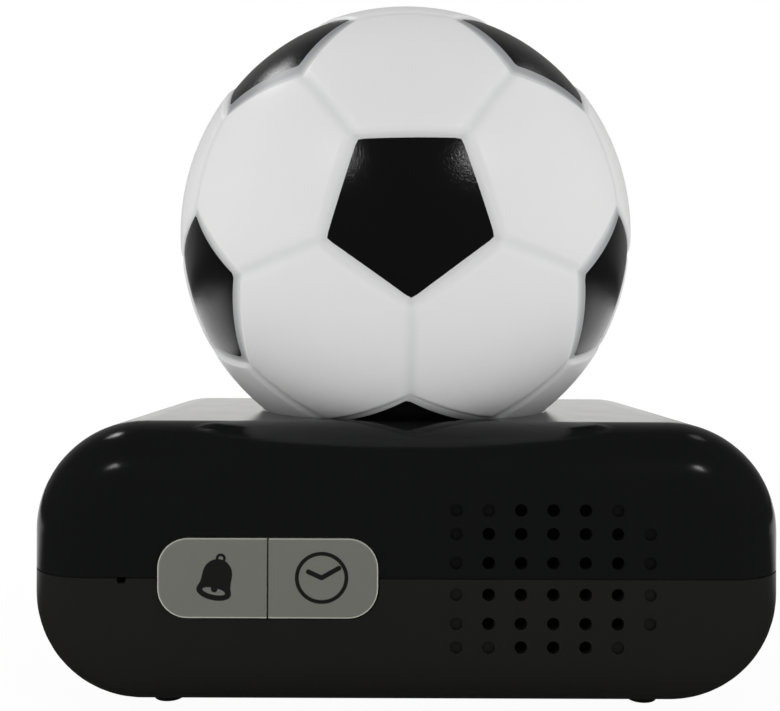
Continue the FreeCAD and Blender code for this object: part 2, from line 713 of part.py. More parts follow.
def lower_case():
    """Return the lower half of the case, with the battery bay, posts and half of each window."""
    inside = case_form(CASE_WALL / 2)
    body = case_form(0).common(half_space(False)).cut(case_form(CASE_WALL))
    bay_outer, bay_inner = battery_bay()
    front_wall = FRONT_Y + CASE_WALL / 2
    rear_wall = REAR_Y - CASE_WALL / 2
    added = floor_posts(corner_points(), PARTING_Z, LOWER_BOSS_RADIUS)
    added += floor_posts(main_board_post_places(), MAIN_BOARD_Z, BOARD_POST_RADIUS)
    added += wall_posts(key_board_post_places(), front_wall, KEY_BOARD_Y, BOARD_POST_RADIUS)
    added += wall_posts(speaker_screw_places(), front_wall, SPEAKER_Y + SPEAKER_FLANGE, BOARD_POST_RADIUS)
    added += wall_posts(lcd_post_places(), rear_wall, LCD_FRAME_BACK_Y + LCD_EAR_THICKNESS, BOARD_POST_RADIUS)
    added += [bay_outer, speaker_ring()]
    room = inside.common(half_space(False))
    body = fused([body] + [shape.common(room) for shape in added])
    removed = [bay_inner, key_window(), display_window(), reveal_groove(), notch(), finger_grip()]
    removed += grille_holes(False) + tab_slots() + foot_recesses()
    recess = CASE_SCREW_HEAD_RADIUS + RECESS_CLEARANCE
    hole = CASE_SCREW_RADIUS + RECESS_CLEARANCE
    for x, y in corner_points():
        removed.append(rod(Vector(x, y, 0), Z_AXIS, recess, CASE_BOTTOM + CASE_SCREW_RECESS))
        removed.append(rod(Vector(x, y, 0), Z_AXIS, hole, PARTING_Z + CUT_OVERRUN))
    pilot = SMALL_SCREW_RADIUS + SCREW_CLEARANCE
    depth = SMALL_SCREW_BITE + PART_GAP
    removed += [rod(Vector(x, y, MAIN_BOARD_Z), -Z_AXIS, pilot, depth) for x, y in main_board_post_places()]
    removed += [rod(Vector(x, KEY_BOARD_Y, z), -Y_AXIS, pilot, depth) for x, z in key_board_post_places()]
    speaker_end = SPEAKER_Y + SPEAKER_FLANGE
    bite = SPEAKER_SCREW_BITE + PART_GAP
    removed += [rod(Vector(x, speaker_end, z), -Y_AXIS, pilot, bite) for x, z in speaker_screw_places()]
    lcd_end = LCD_FRAME_BACK_Y + LCD_EAR_THICKNESS
    removed += [rod(Vector(x, lcd_end, z), Y_AXIS, pilot, depth) for x, z in lcd_post_places()]
    return body.cut(removed)


def case_screws():
    """Return the four screws that hold the case halves together, driven from below."""
    seat_z = CASE_BOTTOM + CASE_SCREW_RECESS
    length = PARTING_Z - seat_z + CASE_SCREW_BITE
    shapes = []
    for x, y in corner_points():
        seat = Vector(x, y, seat_z)
        shapes.append(
            screw(seat, Z_AXIS, CASE_SCREW_RADIUS, CASE_SCREW_HEAD_RADIUS, CASE_SCREW_HEAD_HEIGHT, length)
        )
    return group(shapes)


def foot_places():
    """Return the places of the four feet."""
    x = BASE_WIDTH / 2 - FOOT_INSET_X
    y = BASE_DEPTH / 2 - FOOT_INSET_Y
    return mirrored_pair(x, (-y, y))


def foot_recesses():
    """Return the round recesses that the feet's stems are pressed into."""
    radius = FOOT_STEM_RADIUS + SCREW_CLEARANCE
    depth = FOOT_STEM_LENGTH + SCREW_CLEARANCE
    return [rod(Vector(x, y, CASE_BOTTOM), Z_AXIS, radius, depth) for x, y in foot_places()]


def feet():
    """Return the four rubber feet."""
    shapes = []
    for x, y in foot_places():
        pad = rod(Vector(x, y, 0), Z_AXIS, FOOT_RADIUS, FOOT_HEIGHT)
        rim = [edge for edge in pad.Edges if edge.BoundBox.ZMax < TOUCH]
        pad = pad.makeFillet(FOOT_ROUND, rim)
        root = FOOT_HEIGHT / 2
        stem = rod(Vector(x, y, root), Z_AXIS, FOOT_STEM_RADIUS, FOOT_HEIGHT - root + FOOT_STEM_LENGTH)
        shapes.append(fused([pad, stem]))
    return group(shapes)


# ---------------------------------------------------------------- keys


def key_half(shape, side):
    """Return the part of a key-pair shape on one side of the split."""
    reach = KEY_PAIR_WIDTH
    near = KEY_X + side * KEY_SPLIT / 2
    far = KEY_X + side * reach
    low = Vector(min(near, far), FRONT_Y - reach, PARTING_Z - reach)
    high = Vector(max(near, far), FRONT_Y + reach, PARTING_Z + reach)
    return shape.common(block(low, high))


def key_centre_x(side):
    """Return the middle of one key."""
    return KEY_X + side * KEY_PAIR_WIDTH / 4


def set_button(side):
    """Return one key: its cap, the flange that holds it in, and the post behind it."""
    centre = (KEY_X, PARTING_Z)
    cap = rounded_plate(centre, KEY_PAIR_WIDTH, KEY_HEIGHT, KEY_CORNER, KEY_FRONT_Y, KEY_BACK_Y)
    rim = [edge for edge in cap.Edges if edge.BoundBox.YMax < KEY_FRONT_Y + TOUCH]
    cap = cap.makeFillet(KEY_EDGE_ROUND, rim)
    flange = rounded_plate(
        centre,
        KEY_PAIR_WIDTH + 2 * KEY_FLANGE,
        KEY_HEIGHT + 2 * KEY_FLANGE,
        KEY_CORNER + KEY_FLANGE,
        KEY_FLANGE_Y,
        KEY_BACK_Y,
    )
    start = Vector(key_centre_x(side), KEY_FLANGE_Y, PARTING_Z)
    post = rod(start, Y_AXIS, KEY_POST_RADIUS, STEM_FRONT_Y - KEY_FLANGE_Y)
    return fused([key_half(cap, side), key_half(flange, side), post])


def switch_stem(side):
    """Return the sliding stem of one tact switch."""
    start = Vector(key_centre_x(side), STEM_FRONT_Y, PARTING_Z)
    return rod(start, Y_AXIS, SWITCH_STEM_RADIUS, SWITCH_STEM_RISE + SWITCH_STEM_DEPTH)


def switch_bodies():
    """Return the bodies of the two tact switches on the key board."""
    shapes = []
    half = SWITCH_SIZE / 2
    for side in (-1, 1):
        x = key_centre_x(side)
        low = Vector(x - half, SWITCH_FRONT_Y, PARTING_Z - half)
        high = Vector(x + half, KEY_BOARD_Y, PARTING_Z + half)
        bore = rod(
            Vector(x, SWITCH_FRONT_Y, PARTING_Z),
            Y_AXIS,
            SWITCH_STEM_RADIUS + GUIDE_CLEARANCE,
            SWITCH_STEM_DEPTH + 2 * KEY_TRAVEL,
        )
        shapes.append(block(low, high).cut(bore))
    return group(shapes)


def key_board():
    """Return the upright circuit board behind the keys."""
    half = KEY_BOARD_WIDTH / 2
    low = Vector(KEY_X - half, KEY_BOARD_Y, PARTING_Z - KEY_BOARD_DROP)
    high = Vector(KEY_X + half, KEY_BOARD_Y + KEY_BOARD_THICKNESS, PARTING_Z + KEY_BOARD_RISE)
    holes = []
    for x, z in key_board_post_places():
        holes.append(screw_hole(Vector(x, KEY_BOARD_Y, z), Y_AXIS, KEY_BOARD_THICKNESS))
    return block(low, high).cut(holes)


def screw_hole(start, axis, through):
    """Return the hole for a small screw through a plate that starts at a point."""
    radius = SMALL_SCREW_RADIUS + RECESS_CLEARANCE
    return rod(start - axis * CUT_OVERRUN, axis, radius, through + 2 * CUT_OVERRUN)


def small_screws(seats, axis, through):
    """Return small screws whose heads seat at the points and reach through a thickness."""
    return group([small_screw(seat, axis, through + SMALL_SCREW_BITE) for seat in seats])


def key_board_screws():
    """Return the two screws of the key board."""
    y = KEY_BOARD_Y + KEY_BOARD_THICKNESS
    seats = [Vector(x, y, z) for x, z in key_board_post_places()]
    return small_screws(seats, -Y_AXIS, KEY_BOARD_THICKNESS)


# ---------------------------------------------------------------- speaker


def speaker_point():
    """Return the middle of the speaker's front face."""
    return Vector(GRILLE_X, SPEAKER_Y, PARTING_Z)


def speaker_frame():
    """Return the speaker's pressed basket."""
    mouth = BASKET_FRONT_RADIUS - BASKET_WALL
    neck = POLE_RADIUS + BASKET_NECK_GAP
    floor = BASKET_DEPTH - BASKET_WALL
    profile = [
        (mouth, 0),
        (SPEAKER_RADIUS, 0),
        (SPEAKER_RADIUS, SPEAKER_FLANGE),
        (BASKET_FRONT_RADIUS, SPEAKER_FLANGE),
        (BASKET_BACK_RADIUS, floor),
        (BASKET_BACK_RADIUS, BASKET_DEPTH),
        (neck, BASKET_DEPTH),
        (neck, floor),
        (BASKET_BACK_RADIUS - BASKET_WALL, floor),
        (mouth, SPEAKER_FLANGE),
    ]
    return turned(profile, speaker_point(), Y_AXIS)


def speaker_magnet():
    """Return the ring magnet with its plates and pole."""
    start = speaker_point() + Y_AXIS * BASKET_DEPTH
    magnet = rod(start, Y_AXIS, MAGNET_RADIUS, MAGNET_THICKNESS)
    rim = [edge for edge in magnet.Edges if edge.BoundBox.YMin > start.y + MAGNET_THICKNESS - TOUCH]
    magnet = magnet.makeChamfer(MAGNET_CHAMFER, rim)
    pole = rod(start - Y_AXIS * POLE_LENGTH, Y_AXIS, POLE_RADIUS, POLE_LENGTH + MAGNET_THICKNESS / 2)
    return fused([magnet, pole])


def dust_cap(y0):
    """Return the domed middle of the diaphragm as profile points, from its edge to its axis."""
    points = []
    for step in range(CONE_CAP_STEPS + 1):
        share = 1 - step / CONE_CAP_STEPS
        points.append((share * CONE_CAP_RADIUS, y0 - CONE_CAP_RISE * (1 - share ** 2)))
    return points


def speaker_cone():
    """Return the thin diaphragm with its dust cap."""
    edge = BASKET_FRONT_RADIUS - BASKET_WALL - LENS_GAP
    profile = [(edge, PART_GAP), (edge, PART_GAP + CONE_THICKNESS)]
    profile += dust_cap(CONE_DEPTH + CONE_THICKNESS)
    profile += dust_cap(CONE_DEPTH)[::-1]
    return turned(profile, speaker_point(), Y_AXIS)


def speaker_screws():
    """Return the two screws whose heads clamp the speaker's flange."""
    y = SPEAKER_Y + SPEAKER_FLANGE
    shapes = []
    for x, z in speaker_screw_places():
        seat = Vector(x, y, z)
        shapes.append(
            screw(
                seat,
                -Y_AXIS,
                SMALL_SCREW_RADIUS,
                SPEAKER_SCREW_HEAD_RADIUS,
                SMALL_SCREW_HEAD_HEIGHT,
                SPEAKER_SCREW_BITE,
            )
        )
    return group(shapes)


# ---------------------------------------------------------------- display and boards


def display_lens():
    """Return the clear lens set flush in the rear wall."""
    y0 = REAR_Y - LENS_THICKNESS
    return rounded_plate((0, PARTING_Z), LENS_WIDTH, LENS_HEIGHT, LENS_CORNER, y0, REAR_Y)


def lcd_slab(front_y, back_y):
    """Return a slab of the display's size between two planes."""
    low = Vector(-LCD_WIDTH / 2, back_y, PARTING_Z - LCD_HEIGHT / 2)
    high = Vector(LCD_WIDTH / 2, front_y, PARTING_Z + LCD_HEIGHT / 2)
    return block(low, high)


def lcd_panel():
    """Return the liquid crystal panel."""
    return lcd_slab(INNER_REAR_Y - LENS_GAP, LCD_BACK_Y)


def backlight_panel():
    """Return the backlight behind the panel."""
    return lcd_slab(LCD_BACK_Y, BACKLIGHT_BACK_Y)


def lcd_frame():
    """Return the frame that holds panel and backlight, with a screw ear at each end."""
    half_x = LCD_WIDTH / 2 + LCD_FRAME_BORDER
    half_z = LCD_HEIGHT / 2 + LCD_FRAME_BORDER
    front = INNER_REAR_Y - LENS_GAP
    back = LCD_FRAME_BACK_Y
    body = block(Vector(-half_x, back, PARTING_Z - half_z), Vector(half_x, front, PARTING_Z + half_z))
    ears = []
    for x, z in lcd_post_places():
        half_w = LCD_EAR_WIDTH / 2
        low = Vector(x - half_w, back, z - LCD_EAR_HEIGHT / 2)
        high = Vector(x + half_w, back + LCD_EAR_THICKNESS, z + LCD_EAR_HEIGHT / 2)
        ears.append(block(low, high))
    seat_x = LCD_WIDTH / 2 + LENS_GAP
    seat_z = LCD_HEIGHT / 2 + LENS_GAP
    seat = block(
        Vector(-seat_x, back - CUT_OVERRUN, PARTING_Z - seat_z),
        Vector(seat_x, front + CUT_OVERRUN, PARTING_Z + seat_z),
    )
    holes = [screw_hole(Vector(x, back, z), Y_AXIS, LCD_EAR_THICKNESS) for x, z in lcd_post_places()]
    return fused([body] + ears).cut([seat] + holes)


def lcd_screws():
    """Return the two screws of the display frame."""
    seats = [Vector(x, LCD_FRAME_BACK_Y, z) for x, z in lcd_post_places()]
    return small_screws(seats, Y_AXIS, LCD_EAR_THICKNESS)


def display_ribbon():
    """Return the flat ribbon that runs from the main board up the back of the display."""
    z0 = MAIN_BOARD_Z + MAIN_BOARD_THICKNESS
    y0 = MAIN_BOARD_REAR - RIBBON_OVERLAP
    y1 = BACKLIGHT_BACK_Y - LENS_GAP
    inner = RIBBON_BEND
    outer = RIBBON_BEND + RIBBON_THICKNESS
    bend_y = y1 - outer
    bend_z = z0 + outer
    half = math.sqrt(0.5)
    x0 = -RIBBON_WIDTH / 2
    top = bend_z + RIBBON_RISE

    def point(y, z):
        return Vector(x0, y, z)

    def arc(radius):
        middle = point(bend_y + radius * half, bend_z - radius * half)
        return Part.Arc(point(bend_y, bend_z - radius), middle, point(bend_y + radius, bend_z)).toShape()

    def line(start, end):
        return Part.LineSegment(start, end).toShape()

    edges = [
        line(point(y0, z0), point(bend_y, z0)),
        arc(outer),
        line(point(y1, bend_z), point(y1, top)),
        line(point(y1, top), point(y1 - RIBBON_THICKNESS, top)),
        line(point(y1 - RIBBON_THICKNESS, top), point(bend_y + inner, bend_z)),
        arc(inner),
        line(point(bend_y, bend_z - inner), point(y0, z0 + RIBBON_THICKNESS)),
        line(point(y0, z0 + RIBBON_THICKNESS), point(y0, z0)),
    ]
    wire = Part.Wire(Part.__sortEdges__(edges))
    return Part.Face(wire).extrude(Vector(RIBBON_WIDTH, 0, 0))


def main_board():
    """Return the main circuit board over the battery bay."""
    half = MAIN_BOARD_WIDTH / 2
    low = Vector(-half, MAIN_BOARD_FRONT, MAIN_BOARD_Z)
    high = Vector(half, MAIN_BOARD_REAR, MAIN_BOARD_Z + MAIN_BOARD_THICKNESS)
    holes = []
    for x, y in main_board_post_places():
        holes.append(screw_hole(Vector(x, y, MAIN_BOARD_Z), Z_AXIS, MAIN_BOARD_THICKNESS))
    return block(low, high).cut(holes)


def standing_chip(place, size):
    """Return a flat chip that stands on a board at a point."""
    corner = place - Vector(size.x / 2, size.y / 2, 0)
    return block(corner, corner + size)


def board_components():
    """Return the chips and capacitors that stand on the main board."""
    top = MAIN_BOARD_Z + MAIN_BOARD_THICKNESS
    middle = (MAIN_BOARD_FRONT + MAIN_BOARD_REAR) / 2
    shapes = [
        standing_chip(Vector(CLOCK_CHIP_X, middle, top), CLOCK_CHIP_SIZE),
        standing_chip(Vector(SIDE_CHIP_X, middle + SIDE_CHIP_SPREAD, top), RADIO_CHIP_SIZE),
        standing_chip(Vector(SIDE_CHIP_X, middle - SIDE_CHIP_SPREAD, top), POWER_CHIP_SIZE),
    ]
    for x in CAPACITOR_X:
        place = Vector(x, middle - CAPACITOR_SETBACK, top)
        shapes.append(rod(place, Z_AXIS, CAPACITOR_RADIUS, CAPACITOR_HEIGHT))
    return group(shapes)


def main_board_screws():
    """Return the four screws of the main board."""
    z = MAIN_BOARD_Z + MAIN_BOARD_THICKNESS
    return small_screws([Vector(x, y, z) for x, y in main_board_post_places()], -Z_AXIS, MAIN_BOARD_THICKNESS)


# ---------------------------------------------------------------- dock switch


def dock_plunger():
    """Return the pin in the bottom of the dish that the ball presses down."""
    length = PLUNGER_TOP_Z - PLUNGER_BOTTOM_Z
    pin = rod(Vector(0, 0, PLUNGER_BOTTOM_Z), Z_AXIS, PLUNGER_RADIUS, length)
    rim = [edge for edge in pin.Edges if edge.BoundBox.ZMin > PLUNGER_TOP_Z - TOUCH]
    pin = pin.makeFillet(PLUNGER_ROUND, rim)
    flange = rod(Vector(0, 0, PLUNGER_BOTTOM_Z), Z_AXIS, PLUNGER_FLANGE_RADIUS, PLUNGER_FLANGE_THICKNESS)
    return fused([pin, flange])


def dock_switch_button():
    """Return the small button of the switch under the plunger."""
    length = DOCK_BUTTON_RISE + SWITCH_STEM_DEPTH
    return rod(Vector(0, 0, PLUNGER_BOTTOM_Z), -Z_AXIS, DOCK_BUTTON_RADIUS, length)


def dock_switch():
    """Return the body of the switch that senses the docked ball."""
    half = DOCK_SWITCH_SIZE / 2
    low = Vector(-half.x, -half.y, BRACKET_TOP_Z)
    high = Vector(half.x, half.y, DOCK_SWITCH_TOP_Z)
    depth = SWITCH_STEM_DEPTH + 2 * PLUNGER_OVERTRAVEL
    bore = rod(Vector(0, 0, DOCK_SWITCH_TOP_Z), -Z_AXIS, DOCK_BUTTON_RADIUS + GUIDE_CLEARANCE, depth)
    return block(low, high).cut(bore)


def dock_bracket():
    """Return the strip that carries the switch under the dish."""
    reach = DOCK_POST_X + DOCK_POST_RADIUS
    low = Vector(-reach, -BRACKET_DEPTH / 2, BRACKET_BOTTOM_Z)
    high = Vector(reach, BRACKET_DEPTH / 2, BRACKET_TOP_Z)
    holes = []
    for side in (-1, 1):
        holes.append(screw_hole(Vector(side * DOCK_POST_X, 0, BRACKET_BOTTOM_Z), Z_AXIS, BRACKET_THICKNESS))
    return block(low, high).cut(holes)


def dock_screws():
    """Return the two screws of the bracket."""
    seats = [Vector(side * DOCK_POST_X, 0, BRACKET_BOTTOM_Z) for side in (-1, 1)]
    return small_screws(seats, Z_AXIS, BRACKET_THICKNESS)


# ---------------------------------------------------------------- batteries of the base


def cell(start, axis):
    """Return one battery cell with its nub, from its flat end along an axis."""
    can = rod(start, axis, CELL_RADIUS, CELL_LENGTH - CELL_NUB_LENGTH)
    nub = rod(start, axis, CELL_NUB_RADIUS, CELL_LENGTH)
    return fused([can, nub])


def base_cell_lines():
    """Return the y of each cell in the bay."""
    first = BAY_FRONT_Y + BAY_SIDE_GAP + CELL_RADIUS
    step = 2 * CELL_RADIUS + CELL_SPACING
    return [first + index * step for index in range(BASE_CELLS)]


def base_batteries():
    """Return the three cells of the base, with turned about neighbours."""
    z = CELL_BOTTOM_Z + CELL_RADIUS
    shapes = []
    for index, y in enumerate(base_cell_lines()):
        side = -1 if index % 2 else 1
        shapes.append(cell(Vector(-side * CELL_LENGTH / 2, y, z), X_AXIS * side))
    return group(shapes)


def contact_plate(centre, axis, reach):
    """Return a sheet contact with a pressed bump that points along an axis."""
    side = Y_AXIS if abs(axis.x) > 0.5 else X_AXIS
    corner = centre - side * (CONTACT_SIZE / 2) - Z_AXIS * (CONTACT_SIZE / 2)
    points = [corner, corner + side * CONTACT_SIZE, corner + side * CONTACT_SIZE + Z_AXIS * CONTACT_SIZE]
    points.append(corner + Z_AXIS * CONTACT_SIZE)
    sheet = Part.Face(Part.makePolygon(points + points[:1])).extrude(axis * CONTACT_THICKNESS)
    bump_start = centre + axis * (CONTACT_THICKNESS / 2)
    bump_length = reach - CONTACT_THICKNESS / 2
    bump = Part.makeCone(CONTACT_BUMP_RADIUS, CONTACT_TIP_RADIUS, bump_length, bump_start, axis)
    return fused([sheet, bump])


def battery_contacts():
    """Return the sheet contacts at both ends of the bay."""
    z = CELL_BOTTOM_Z + CELL_RADIUS
    shapes = []
    for y in base_cell_lines():
        for side in (-1, 1):
            centre = Vector(side * BAY_HALF_X, y, z)
            shapes.append(contact_plate(centre, X_AXIS * -side, BAY_END_GAP - PART_GAP))
    return group(shapes)


def battery_door():
    """Return the door under the bay, with two tabs at its hinged edge and a finger scoop."""
    half_x = BAY_HALF_X - DOOR_GAP
    front = BAY_FRONT_Y + DOOR_GAP
    rear = BAY_REAR_Y - DOOR_GAP
    top = CASE_BOTTOM + DOOR_THICKNESS
    plate = block(Vector(-half_x, front, CASE_BOTTOM), Vector(half_x, rear, top))
    shapes = [plate]
    tab_low = FLOOR_Z + PART_GAP
    tab_high = tab_low + TAB_THICKNESS
    for side in (-1, 1):
        x0 = side * TAB_X - TAB_WIDTH / 2
        x1 = side * TAB_X + TAB_WIDTH / 2
        shapes.append(block(Vector(x0, rear - TAB_ROOT, CASE_BOTTOM), Vector(x1, rear, tab_high)))
        tip = rear + DOOR_GAP + TAB_REACH
        shapes.append(block(Vector(x0, rear - TAB_ROOT, tab_low), Vector(x1, tip, tab_high)))
    scoop = rod(Vector(0, front, CASE_BOTTOM - CASE_WALL), Z_AXIS, GRIP_WIDTH / 2, CASE_WALL + GRIP_DEPTH)
    return fused(shapes).cut(scoop)


# ---------------------------------------------------------------- football


def sphere_point(polar_deg, azimuth_deg, pole):
    """Return a unit vector at an angle from the +Y or -Y pole, azimuth measured in XZ."""
    polar = math.radians(polar_deg)
    azimuth = math.radians(azimuth_deg)
    ring = math.sin(polar)
    return Vector(ring * math.cos(azimuth), pole * math.cos(polar), ring * math.sin(azimuth))


def pentagon_centres():
    """Return the twelve pentagon directions: the two poles and two rings of five."""
    ring_angle = math.degrees(math.atan(2.0))
    centres = [Vector(0, -1, 0), Vector(0, 1, 0)]
    for index in range(5):
        centres.append(sphere_point(ring_angle, 270 + 72 * index, -1))
        centres.append(sphere_point(ring_angle, 90 + 72 * index, 1))
    return centres


def are_neighbours(one, other):
    """Return whether two pentagon directions are next to each other."""
    return math.degrees(one.getAngle(other)) < NEIGHBOUR_ANGLE and (one - other).Length > TOUCH


def unit(vector):
    """Return a vector scaled to unit length."""
    return vector * (1.0 / vector.Length)


def in_order(corners, centre):
    """Return corner directions sorted round their panel's centre."""
    side = unit(corners[0] - centre * corners[0].dot(centre))
    up = centre.cross(side)
    return sorted(corners, key=lambda corner: math.atan2(corner.dot(up), corner.dot(side)))


def pentagon_panels():
    """Return each pentagon's centre and corner directions."""
    centres = pentagon_centres()
    panels = []
    for centre in centres:
        corners = [unit(centre * 2 + other) for other in centres if are_neighbours(centre, other)]
        panels.append((centre, in_order(corners, centre)))
    return panels


def hexagon_panels():
    """Return each hexagon's centre and corner directions."""
    panels = []
    for a, b, c in itertools.combinations(pentagon_centres(), 3):
        if not (are_neighbours(a, b) and are_neighbours(b, c) and are_neighbours(c, a)):
            continue
        corners = [unit(one * 2 + other) for one, other in itertools.permutations((a, b, c), 2)]
        centre = unit(a + b + c)
        panels.append((centre, in_order(corners, centre)))
    return panels


def panel_wedge(centre, corners, inset):
    """Return the cone from the ball's centre through a panel drawn in by an inset."""
    middle = (corners[0] + corners[1]) * 0.5
    in_radius = BALL_RADIUS * centre.getAngle(middle)
    share = 1.0 - inset / in_radius
    reach = WEDGE_REACH * BALL_RADIUS
    rim = [unit(centre * (1 - share) + corner * share) * reach for corner in corners]
    apex = Vector(0, 0, 0)
    faces = []
    for index, start in enumerate(rim):
        end = rim[(index + 1) % len(rim)]
        faces.append(Part.Face(Part.makePolygon([apex, start, end, apex])))
    faces.append(Part.Face(Part.makePolygon(rim + rim[:1])))
    return Part.Solid(Part.Shell(faces))


def panel_pads(front):
    """Return the raised panels of one half of the ball, centred on the origin."""
    inner = GROOVE_RADIUS - PAD_ROOT
    hexagon_skin = Part.makeSphere(BALL_RADIUS).cut(Part.makeSphere(inner))
    pentagon_skin = Part.makeSphere(GROOVE_RADIUS + PENTAGON_RISE).cut(Part.makeSphere(inner))
    side = -1 if front else 1
    pads = []
    for centre, corners in hexagon_panels():
        if max(corner.y * side for corner in corners) > TOUCH:
            pads.append(panel_wedge(centre, corners, PANEL_GROOVE / 2).common(hexagon_skin))
    for centre, corners in pentagon_panels():
        if centre.y * side > 0:
            pads.append(panel_wedge(centre, corners, PENTAGON_MARGIN).common(pentagon_skin))
    return pads


def ball_half(front):
    """Return one half of the ball: shell, raised panels and the boss that holds the axle."""
    side = -1 if front else 1
    reach = 2 * BALL_RADIUS
    space = block(Vector(-reach, min(0, side * reach), -reach), Vector(reach, max(0, side * reach), reach))
    shell = Part.makeSphere(GROOVE_RADIUS).cut(Part.makeSphere(SHELL_INNER_RADIUS))
    boss_start = Vector(0, side * AXLE_BOSS_Y, 0)
    boss_length = SHELL_INNER_RADIUS + SHELL_THICKNESS / 2 - AXLE_BOSS_Y
    boss = rod(boss_start, Y_AXIS * side, AXLE_BOSS_RADIUS, boss_length)
    body = fused([shell.common(space), boss] + [pad.common(space) for pad in panel_pads(front)])
    bore_depth = AXLE_HALF_LENGTH + AXLE_END_GAP - AXLE_BOSS_Y
    bore = rod(boss_start, Y_AXIS * side, AXLE_RADIUS + PRESS_CLEARANCE, bore_depth)
    body = body.cut(bore)
    body.translate(BALL_CENTRE)
    return body


def join_ring():
    """Return the ring that lines up and joins the two halves from inside."""
    half = JOIN_RING_HEIGHT / 2
    outer = math.sqrt(SHELL_INNER_RADIUS ** 2 - half ** 2) - LENS_GAP
    start = BALL_CENTRE - Y_AXIS * half
    return tube(start, Y_AXIS, outer, outer - JOIN_RING_WALL, JOIN_RING_HEIGHT)


def ball_axle():
    """Return the steel axle between the two poles of the ball."""
    start = BALL_CENTRE - Y_AXIS * AXLE_HALF_LENGTH
    return rod(start, Y_AXIS, AXLE_RADIUS, 2 * AXLE_HALF_LENGTH)


def axle_collar():
    """Return the collar that keeps the drive unit from sliding along the axle."""
    start_y = PLATE_OUTER_Y + BUSH_FLANGE_THICKNESS + AXIAL_GAP
    start = BALL_CENTRE - Y_AXIS * (start_y + COLLAR_LENGTH)
    return tube(start, Y_AXIS, COLLAR_RADIUS, AXLE_RADIUS + PRESS_CLEARANCE, COLLAR_LENGTH)


# ---------------------------------------------------------------- gears


def tooth_half_angle(radius, pitch_radius, base_radius, half_at_pitch):
    """Return half the angle that an involute tooth takes up at a radius."""

    def involute(r):
        tangent = math.sqrt(max(0.0, (r / base_radius) ** 2 - 1))
        return tangent - math.atan(tangent)

    return half_at_pitch + involute(pitch_radius) - involute(max(radius, base_radius))


def gear_blank(teeth, module, phase_deg, y0, face, centre_z):
    """Return a spur gear on a Y axis with one tooth centred on the phase angle."""
    pitch = teeth * module / 2
    base = pitch * math.cos(math.radians(PRESSURE_ANGLE))
    tip = pitch + ADDENDUM * module
    root = pitch - DEDENDUM * module
    half_at_pitch = (math.pi * module / 2 - BACKLASH) / (2 * pitch)
    levels = (root, pitch, tip)
    halves = [tooth_half_angle(radius, pitch, base, half_at_pitch) for radius in levels]
    rising = list(zip(levels, [-half for half in halves]))
    falling = list(zip(levels[::-1], halves[::-1]))
    points = []
    for index in range(teeth):
        middle = math.radians(phase_deg) + 2 * math.pi * index / teeth
        for radius, angle in rising + falling:
            x = radius * math.cos(middle + angle)
            z = radius * math.sin(middle + angle)
            points.append(BALL_CENTRE + Vector(x, y0, centre_z + z))
    wire = Part.makePolygon(points + points[:1])
    return Part.Face(wire).extrude(Vector(0, face, 0))


def centre_line(y, z):
    """Return a point of the drive unit, measured from the ball's centre."""
    return BALL_CENTRE + Vector(0, y, z)


def gear_bore(y0, face, z, radius):
    """Return the hole through a gear, measured from the ball's centre."""
    return rod(centre_line(y0 - CUT_OVERRUN, z), Y_AXIS, radius, face + 2 * CUT_OVERRUN)


def fixed_gear():
    """Return the gear fixed on the axle, which the drive unit climbs round."""
    gear = gear_blank(SUN_TEETH, SLOW_MODULE, -90, SLOW_GEAR_Y, SLOW_FACE, 0)
    return gear.cut(gear_bore(SLOW_GEAR_Y, SLOW_FACE, 0, AXLE_RADIUS + PRESS_CLEARANCE))


def compound_gear():
    """Return the idler: a small gear on the fixed gear and a large one on the pinion."""
    small_phase = 90 + 180 / IDLER_SMALL_TEETH
    small_face = FAST_GEAR_Y - SLOW_GEAR_Y
    small = gear_blank(IDLER_SMALL_TEETH, SLOW_MODULE, small_phase, SLOW_GEAR_Y, small_face, IDLER_Z)
    large = gear_blank(IDLER_LARGE_TEETH, FAST_MODULE, -90, FAST_GEAR_Y, FAST_FACE, IDLER_Z)
    bore = gear_bore(SLOW_GEAR_Y, small_face + FAST_FACE, IDLER_Z, IDLER_PIN_RADIUS + RUNNING_CLEARANCE)
    return fused([small, large]).cut(bore)


def motor_pinion():
    """Return the pinion on the motor's shaft."""
    phase = 90 + 180 / PINION_TEETH
    gear = gear_blank(PINION_TEETH, FAST_MODULE, phase, FAST_GEAR_Y, FAST_FACE, MOTOR_Z)
    return gear.cut(gear_bore(FAST_GEAR_Y, FAST_FACE, MOTOR_Z, MOTOR_SHAFT_RADIUS + PRESS_CLEARANCE))


# ---------------------------------------------------------------- drive unit


def sector(inner, outer, half_angle, y0, y1):
    """Return a curved slab round the ball's axle, centred under it."""
    start = -90 - half_angle
    end = -90 + half_angle

    def corner(radius, angle):
        turn = math.radians(angle)
        return (radius * math.cos(turn), radius * math.sin(turn))

    edges = [
        arc_edge((0, 0), outer, start, end, y0),
        line_edge(corner(outer, end), corner(inner, end), y0),
        arc_edge((0, 0), inner, end, start, y0),
        line_edge(corner(inner, start), corner(outer, start), y0),
    ]
    solid = Part.Face(Part.Wire(edges)).extrude(Vector(0, y1 - y0, 0))
    solid.translate(BALL_CENTRE)
    return solid


